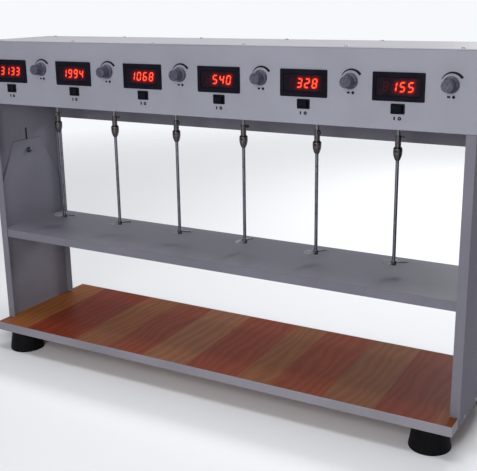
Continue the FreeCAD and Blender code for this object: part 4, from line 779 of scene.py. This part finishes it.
def figures(name, rows, front, back, material):
    """Every segment is a bar with pointed ends: six corners round its middle, leaned, front and back."""
    middle_x, across, high, half, upright = (rows[:, n:n + 1] for n in range(5))
    tip = np.array([-1, -1, 1, 1, 1, -1])[None, :]
    cut_back = np.array([0, 1, 1, 0, 1, 1])[None, :]
    side = np.array([0, 1, 1, 0, -1, -1])[None, :]
    run = tip * (half - cut_back * STROKE)
    rise = side * STROKE + 0 * half
    local_x = across + np.where(upright > 0, rise, run)
    local_z = high + np.where(upright > 0, run, rise)
    x = middle_x + local_x + local_z * FIGURE_SLANT
    z = METER_Z + local_z
    layers = [np.stack([x, np.full_like(x, depth), z], axis=-1) for depth in (front, back)]
    points = np.stack(layers, axis=1)
    base = np.arange(len(rows))[:, None] * 12
    caps = np.concatenate([base + np.arange(6)[None, :], base + np.arange(11, 5, -1)[None, :]])
    ring = np.arange(6)
    sides = np.stack([ring, ring + 6, np.roll(ring, -1) + 6, np.roll(ring, -1)], axis=-1)
    walls = (base[:, :, None] + sides[None]).reshape(-1, 4)
    return shell(name, points, caps.tolist() + walls.tolist(), material)


def glowing(name, base, core, edge, strength):
    """A figure's face: it glows with soft patches between two tones over a dark base."""
    material = bpy.data.materials.new(name)
    tree, shader = tree_of(material)
    mask = use(tree, CLOUDS, Size=0.003).outputs["Mask"]
    tree.links.new(blend(tree, mask, (*edge, 1.0), (*core, 1.0)), shader.inputs["Emission Color"])
    shader.inputs["Emission Strength"].default_value = strength
    shader.inputs["Base Color"].default_value = colour(*base)
    shader.inputs["Roughness"].default_value = 0.5
    shader.inputs["Specular IOR Level"].default_value = 0.03
    return material


LIT_ROWS, DARK_ROWS = segment_rows(True), segment_rows(False)
LIT_FIGURE = glowing("lit_figure", (120, 20, 10), (1.0, 0.14, 0.06), (1.0, 0.04, 0.015), 1.7)
# The unlit segments glow faintly red too: painted glow for the dim red of segments that are off.
DARK_FIGURE_WITH_GLOW = glowing("dark_figure", (30, 12, 18), (0.046, 0.002, 0.006), (0.030, 0.001, 0.004), 1.0)
glass_face = window_low.y
figure_back = glass_face + 0.0004
fit(figures("lit_figures", LIT_ROWS, glass_face - 0.00006, figure_back, LIT_FIGURE), "case", "meter_red")
fit(figures("dark_figures", DARK_ROWS, glass_face - 0.00003, figure_back, DARK_FIGURE_WITH_GLOW), "case", "meter_red")

HALO_REACH, PANE_HALF_WIDTH, PANE_HALF_TALL = 0.0034, 0.03395, 0.01395


def window_glow(x, z):
    """Light that spreads in the window: exp(-d / reach), with d the distance to the nearest lit bar."""
    middle_x, across, high, half, upright = (LIT_ROWS[:, n][:, None] for n in range(5))
    local_z = z.reshape(1, -1) - METER_Z
    local_x = x.reshape(1, -1) - middle_x - local_z * FIGURE_SLANT
    off_x = np.maximum(np.abs(local_x - across) - np.where(upright > 0, STROKE, half), 0)
    off_z = np.maximum(np.abs(local_z - high) - np.where(upright > 0, half, STROKE), 0)
    return np.exp(-np.hypot(off_x, off_z).min(axis=0) / HALO_REACH)


def window_pane(name, x, material):
    """A pane as a fine grid whose rim is laid back to the seat, closed by one face, with its glow stored."""
    across = np.linspace(-1, 1, 137)[None, :] * PANE_HALF_WIDTH
    high = np.linspace(-1, 1, 57)[:, None] * PANE_HALF_TALL
    rim = np.maximum(np.abs(across) / PANE_HALF_WIDTH, np.abs(high) / PANE_HALF_TALL) > 0.9999
    depth = np.where(rim, window_high.y, window_low.y)
    points = np.stack([x + across + 0 * high, depth, METER_Z + high + 0 * across], axis=-1)
    index = np.arange(points.shape[0] * points.shape[1]).reshape(points.shape[:2])
    cells = np.stack([index[:-1, :-1], index[1:, :-1], index[1:, 1:], index[:-1, 1:]], axis=-1)
    loop = np.concatenate([index[0, :-1], index[:-1, -1], index[-1, :0:-1], index[:0:-1, 0]])
    piece = shell(name, points, cells.reshape(-1, 4).tolist() + [loop.tolist()], material)
    glow = piece.data.attributes.new("glow", "FLOAT", "POINT")
    glow.data.foreach_set("value", window_glow(points[..., 0], points[..., 2]).astype(np.float32))
    return smooth(piece, 30)


def tinted():
    """Dark red acrylic: the stored glow lights it from behind, and dust dulls its gloss in places."""
    material = bpy.data.materials.new("meter_red")
    tree, shader = tree_of(material)
    glow = add(tree, "ShaderNodeAttribute", attribute_name="glow").outputs["Fac"]
    light = ramp(tree, glow, [(0.0, (0.0, 0.0, 0.0, 1.0)), (0.2, (0.006, 0.0, 0.0004, 1.0)),
                              (0.5, (0.06, 0.001, 0.001, 1.0)), (0.8, (0.22, 0.002, 0.002, 1.0)),
                              (1.0, (0.50, 0.005, 0.002, 1.0))], "LINEAR")
    mask = use(tree, CLOUDS, Size=0.012).outputs["Mask"]
    tree.links.new(blend(tree, mask, colour(22, 17, 24), colour(31, 23, 32)), shader.inputs["Base Color"])
    tree.links.new(light, shader.inputs["Emission Color"])
    shader.inputs["Emission Strength"].default_value = 1.0
    tree.links.new(steps(tree, mask, 0.16, 0.30), shader.inputs["Roughness"])
    shader.inputs["Specular IOR Level"].default_value = 0.03
    return material


METER_RED = tinted()
panes = [window_pane(f"pane_{number}", x, METER_RED) for number, x in enumerate(METER_X)]
fit(joined("meter_window_set", panes), "case", "meter_red", "meter_windows")

# The switches: a black moulded frame snapped into the fascia, and a rocker in it that tips about an upright
# pin. Its face is dished, and one side stands proud. Under each, a stroke and a ring stand for on and off.
SWITCH_BLACK = coated("switch_black", (12, 12, 19), (22, 22, 30), 0.45, patch=0.01, grain=0.0005,
                      depth=0.00003, shine=0.03)
SWITCH_PROUD = 0.0018
switch_low, switch_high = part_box("switch_frames")
SWITCH_Z = (switch_low.z + switch_high.z) / 2
frame_rows = [
    (0.0081, 0.0050, 0.0006, 0.0107),
    (0.0081, 0.0050, 0.0006, 0.0003 - SWITCH_PROUD),
    (0.0084, 0.0053, 0.0008, -SWITCH_PROUD),
    (0.0101, 0.0069, 0.0010, -SWITCH_PROUD),
    (0.0105, 0.0073, 0.0012, 0.0002 - SWITCH_PROUD),
    (0.0107, 0.0075, 0.0013, 0.0006 - SWITCH_PROUD),
    (0.0107, 0.0075, 0.0013, 0.0),
    (0.0094, 0.0063, 0.0006, 0.0),
    (0.0094, 0.0063, 0.0006, 0.0117),
    (0.0091, 0.0060, 0.0006, 0.0120),
]
frames = [framed(f"switch_{number}", frame_rows, (x, FRONT, SWITCH_Z), SWITCH_BLACK)
          for number, x in enumerate(METER_X)]
fit(joined("switch_frame_set", frames), "case", "switch_black", "switch_frames")

ROCKER_HALF, ROCKER_FRONT, ROCKER_DISH, ROCKER_BACK, ROCKER_HEEL = 0.00715, -0.0046, 0.0011, 0.0038, 0.002
ROCKER_HALF_TALL, ROCKER_PIVOT, ROCKER_TILT = 0.00455, 0.0012, np.radians(-8.0)
DISH_STEPS = 15
dish_x = np.linspace(-0.9, 0.9, DISH_STEPS) * ROCKER_HALF
dish_y = ROCKER_FRONT + ROCKER_DISH * (1 - (dish_x / ROCKER_HALF) ** 2)
rocker_end = [(0.0, ROCKER_BACK), (ROCKER_HEEL, ROCKER_BACK), (ROCKER_HALF, 0.0),
              (ROCKER_HALF, ROCKER_FRONT)]
end_radii = [0, 0.0006, 0.0008, 0.0005]
rocker_corners = [(-x, y) for x, y in rocker_end] + list(zip(dish_x, dish_y)) + rocker_end[::-1]
rocker_outline = rounded(rocker_corners, end_radii + [0] * DISH_STEPS + end_radii[::-1])[:-1]
# Each layer of a rocker: its height and how far its outline is drawn in, which rounds the two ends
rocker_layers = np.array([(-1.0, 0.0006), (-0.97, 0.0002), (-0.9, 0.0), (0.9, 0.0), (0.97, 0.0002),
                          (1.0, 0.0006)])


def rocker(name, x, material):
    """The outline carried up z, drawn in at both ends as 1 - inset / half width, then turned by the tilt."""
    scale = 1 - rocker_layers[:, 1:] / ROCKER_HALF
    local_x = scale * rocker_outline[None, :, 0]
    local_y = scale * rocker_outline[None, :, 1]
    high = rocker_layers[:, :1] * ROCKER_HALF_TALL + 0 * local_x
    points = np.stack([x + local_x * np.cos(ROCKER_TILT) - local_y * np.sin(ROCKER_TILT),
                       FRONT + ROCKER_PIVOT + local_x * np.sin(ROCKER_TILT) + local_y * np.cos(ROCKER_TILT),
                       SWITCH_Z + high], axis=-1)
    return smooth(surface(name, points, material, ends=True), 35)


for station, x in zip(STATIONS, METER_X):
    fit(rocker(f"rocker_{station}_moulded", x, SWITCH_BLACK), f"switch_{station}", "switch_black",
        f"rocker_{station}")

INK = coated("ink", (14, 14, 22), (22, 22, 32), 0.5, patch=0.004, depth=0.00001, shine=0.08)
INK_THICK = 0.00008


def stroke(name, x, z, half_wide, half_tall):
    """A printed stroke: a flat bar with rounded corners on the fascia."""
    rows = [(half_wide, half_tall, 0.0003, -INK_THICK), (half_wide, half_tall, 0.0003, 0.0)]
    return framed(name, rows, (x, FRONT, z), INK)


def printed_arc(name, x, z, start, sweep, middle, half):
    """A flat bar of four corners swept round x and z from a start angle. Middle radius and half width are
    each a pair: the value at the start and how much it grows over the sweep. A full sweep is a ring."""
    share = np.linspace(0, 1, 48)[:, None]
    angle = np.radians(start + sweep * share)
    radius = middle[0] + middle[1] * share + (half[0] + half[1] * share) * np.array([[-1, 1, 1, -1]])
    depth = FRONT - INK_THICK * np.array([[1, 1, 0, 0]]) + 0 * radius
    points = np.stack([x + radius * np.sin(angle), depth, z + radius * np.cos(angle)], axis=-1)
    return surface(name, points, INK, ends=sweep < 360)


ON_SIDE, OFF_SIDE = -0.0049, 0.0031
mark_z = SWITCH_Z - 0.0141
switch_marks = []
for number, x in enumerate(METER_X):
    switch_marks.append(stroke(f"on_{number}", x + ON_SIDE, mark_z, 0.0012, 0.0025))
    switch_marks.append(printed_arc(f"off_{number}", x + OFF_SIDE, mark_z, 0, 360, (0.0018, 0.0),
                                    (0.0010, 0.0)))
fit(joined("switch_marks", switch_marks), "case", "meter_black")

# The controls: plated potentiometers with a bush and nut through the fascia, and a small board on each.
finish_node("potentiometers", coated("control_metal", (132, 130, 126), (160, 158, 152), 0.36, patch=0.006,
                                     depth=0.00001, metal=0.9))
finish_node("control_boards", coated("circuit_green", (18, 62, 40), (28, 82, 52), 0.42, patch=0.01,
                                     depth=0.00002))

# The speed knobs: moulded grey plastic, a bevelled skirt and a long fluted grip in one, on the control's
# shaft. Each has an arc printed over it that widens to the right, with a minus and a plus below.
KNOB_GREY = coated("knob_grey", (38, 40, 54), (94, 96, 113), 0.34, patch=0.0025, grain=0.0006, depth=0.00002,
                   shine=0.2)
SKIRT_RADIUS, SKIRT_TOP, BEVEL, BEVEL_HEIGHT = 0.0121, 0.0050, 0.0018, 0.0028
GRIP_RADIUS, KNOB_LENGTH, KNOB_LIFT, BORE_END = 0.0093, 0.0210, 0.0004, 0.0148
FLUTES, FLUTE_DEPTH, FLUTE_HALF = 18, 0.00065, 0.0011
BORE_RADIUS, HOLLOW_RADIUS, HOLLOW_DEPTH = 0.00302, 0.0074, 0.0028
knob_outside = rounded(
    [(HOLLOW_RADIUS, KNOB_LIFT), (SKIRT_RADIUS, KNOB_LIFT), (SKIRT_RADIUS, SKIRT_TOP - BEVEL_HEIGHT),
     (SKIRT_RADIUS - BEVEL, SKIRT_TOP), (GRIP_RADIUS, SKIRT_TOP), (GRIP_RADIUS - 0.0003, KNOB_LENGTH),
     (0.0066, KNOB_LENGTH), (0.0062, KNOB_LENGTH - 0.0003), (0.0, KNOB_LENGTH - 0.0004)],
    [0.0, 0.0005, 0.0005, 0.0004, 0.0004, 0.0009, 0.0002, 0.0002, 0.0])
knob_inside = np.array([(0.0, BORE_END), (BORE_RADIUS, BORE_END), (BORE_RADIUS, HOLLOW_DEPTH),
                        (HOLLOW_RADIUS, HOLLOW_DEPTH)])
knob_profile = np.vstack([knob_inside, resampled(knob_outside, 0.0003)])


def fluted(radius, height, angle):
    """Flutes are hollows 1 - (d / half)^2 deep, with d the way round to the nearest, on the grip's wall."""
    pitch = 2 * np.pi / FLUTES
    way = np.abs(np.mod(angle + pitch / 2, pitch) - pitch / 2) * GRIP_RADIUS
    wall = np.clip((height - SKIRT_TOP) / 0.0004, 0, 1) * np.clip((radius - 0.0076) / 0.0006, 0, 1)
    return radius - wall * FLUTE_DEPTH * np.clip(1 - (way / FLUTE_HALF) ** 2, 0, 1)


SHAFT_RADIUS, SHAFT_BACK, SHAFT_END = 0.003, -0.0072, BORE_END - 0.00005
shaft_profile = rounded([(0.0, SHAFT_BACK), (SHAFT_RADIUS, SHAFT_BACK), (SHAFT_RADIUS, SHAFT_END),
                         (0.0, SHAFT_END)], [0.0, 0.0003, 0.0003, 0.0])
KNOB_SPOTS = []
for station in STATIONS:
    low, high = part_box(f"speed_knob_{station}")
    spot = ((low.x + high.x) / 2, FRONT, (low.z + high.z) / 2)
    KNOB_SPOTS.append(spot)
    moulding = turned("knob_moulding", knob_profile, spot, KNOB_GREY, axis=(0, -1, 0), round_steps=240,
                      change=fluted)
    shaft = turned("knob_shaft", shaft_profile, spot, KNOB_GREY, axis=(0, -1, 0))
    fit(joined(f"speed_knob_{station}_moulded", [smooth(moulding, 30), smooth(shaft, 30)]),
        f"knob_{station}", "knob_grey", f"speed_knob_{station}")

MARK_DROP, LESS_SIDE, MORE_SIDE = 0.0172, -0.0027, 0.0045
knob_marks = []
for number, (x, y, z) in enumerate(KNOB_SPOTS):
    mark_z, less_x, more_x = z - MARK_DROP, x + LESS_SIDE, x + MORE_SIDE
    knob_marks.append(printed_arc(f"arc_{number}", x, z, -62, 121, (0.0155, 0.0030), (0.0005, 0.0016)))
    knob_marks.append(stroke(f"less_{number}", less_x, mark_z, 0.0022, 0.0014))
    knob_marks.append(stroke(f"more_{number}", more_x, mark_z, 0.0023, 0.0012))
    knob_marks.append(stroke(f"more_upright_{number}", more_x, mark_z, 0.0012, 0.0023))
fit(joined("knob_marks", knob_marks), "case", "meter_black")

# The transformer: an iron core with its coil, bolted inside the right hand end of the head.
finish_node("transformer", coated("transformer_iron", (58, 50, 44), (84, 74, 64), 0.5, patch=0.01,
                                  depth=0.00004))

# The mains inlet: a black moulded socket with a flange, snapped into the rear wall, and three plated pins.
INLET_BLACK = coated("inlet_black", (18, 18, 20), (28, 28, 30), 0.4, patch=0.01, grain=0.0006, depth=0.00003)
inlet_low, inlet_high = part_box("power_inlet")
INLET_X, INLET_Z = (inlet_low.x + inlet_high.x) / 2, (inlet_low.z + inlet_high.z) / 2
inlet_rows = [
    (0.0120, 0.0085, 0.0015, -0.0200),
    (0.0120, 0.0085, 0.0015, 0.0026),
    (0.0124, 0.0089, 0.0018, 0.0030),
    (0.0234, 0.0134, 0.0034, 0.0030),
    (0.0238, 0.0138, 0.0038, 0.0028),
    (0.0240, 0.0140, 0.0040, 0.0023),
    (0.0240, 0.0140, 0.0040, 0.0000),
    (0.0140, 0.0105, 0.0010, 0.0000),
    (0.0140, 0.0105, 0.0010, -0.0235),
    (0.0136, 0.0101, 0.0010, -0.0240),
]
fit(framed("power_inlet_moulded", inlet_rows, (INLET_X, REAR, INLET_Z), INLET_BLACK), "case", "inlet_black",
    "power_inlet")
PIN_ROWS = [(0.0010, 0.0020, 0.0002, -0.0200), (0.0010, 0.0020, 0.0002, -0.0048),
            (0.0005, 0.0014, 0.0002, -0.0040)]
PIN_SPOTS = [(-0.007, -0.002), (0.0, 0.002), (0.007, -0.002)]
pins = [framed(f"pin_{number}", PIN_ROWS, (INLET_X + across, REAR, INLET_Z + high), SCREW_STEEL)
        for number, (across, high) in enumerate(PIN_SPOTS)]
fit(joined("inlet_pins", pins), "case", "screw_steel")

# The lid: a flat sheet over the head, held by two rows of pan head screws into the flanges below.
# Its grey is lighter than the fascia's: painted highlight for the top face, which catches the most light.
finish_node("top_cover", coated("lid_paint_with_highlight", (158, 156, 164), (170, 168, 176), 0.46, patch=0.2,
                                depth=0.00004, shine=0.2))
LID_INSET, LID_MARGIN = 0.015, 0.030
lid_low, lid_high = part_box("top_cover")
fit(joined("lid_screw_set", [
    driven(f"lid_screw_{row}_{number}", (x, y, lid_high.z), (0, 0, 1), PAN_HEAD, SCREW_STEEL,
           turn=1.1 * number + 0.4 * row)
    for row, y in enumerate((lid_low.y + LID_INSET, lid_high.y - LID_INSET))
    for number, x in enumerate(np.linspace(lid_low.x + LID_MARGIN, lid_high.x - LID_MARGIN, 6))]),
    "case", "screw_steel", "top_cover_screws")
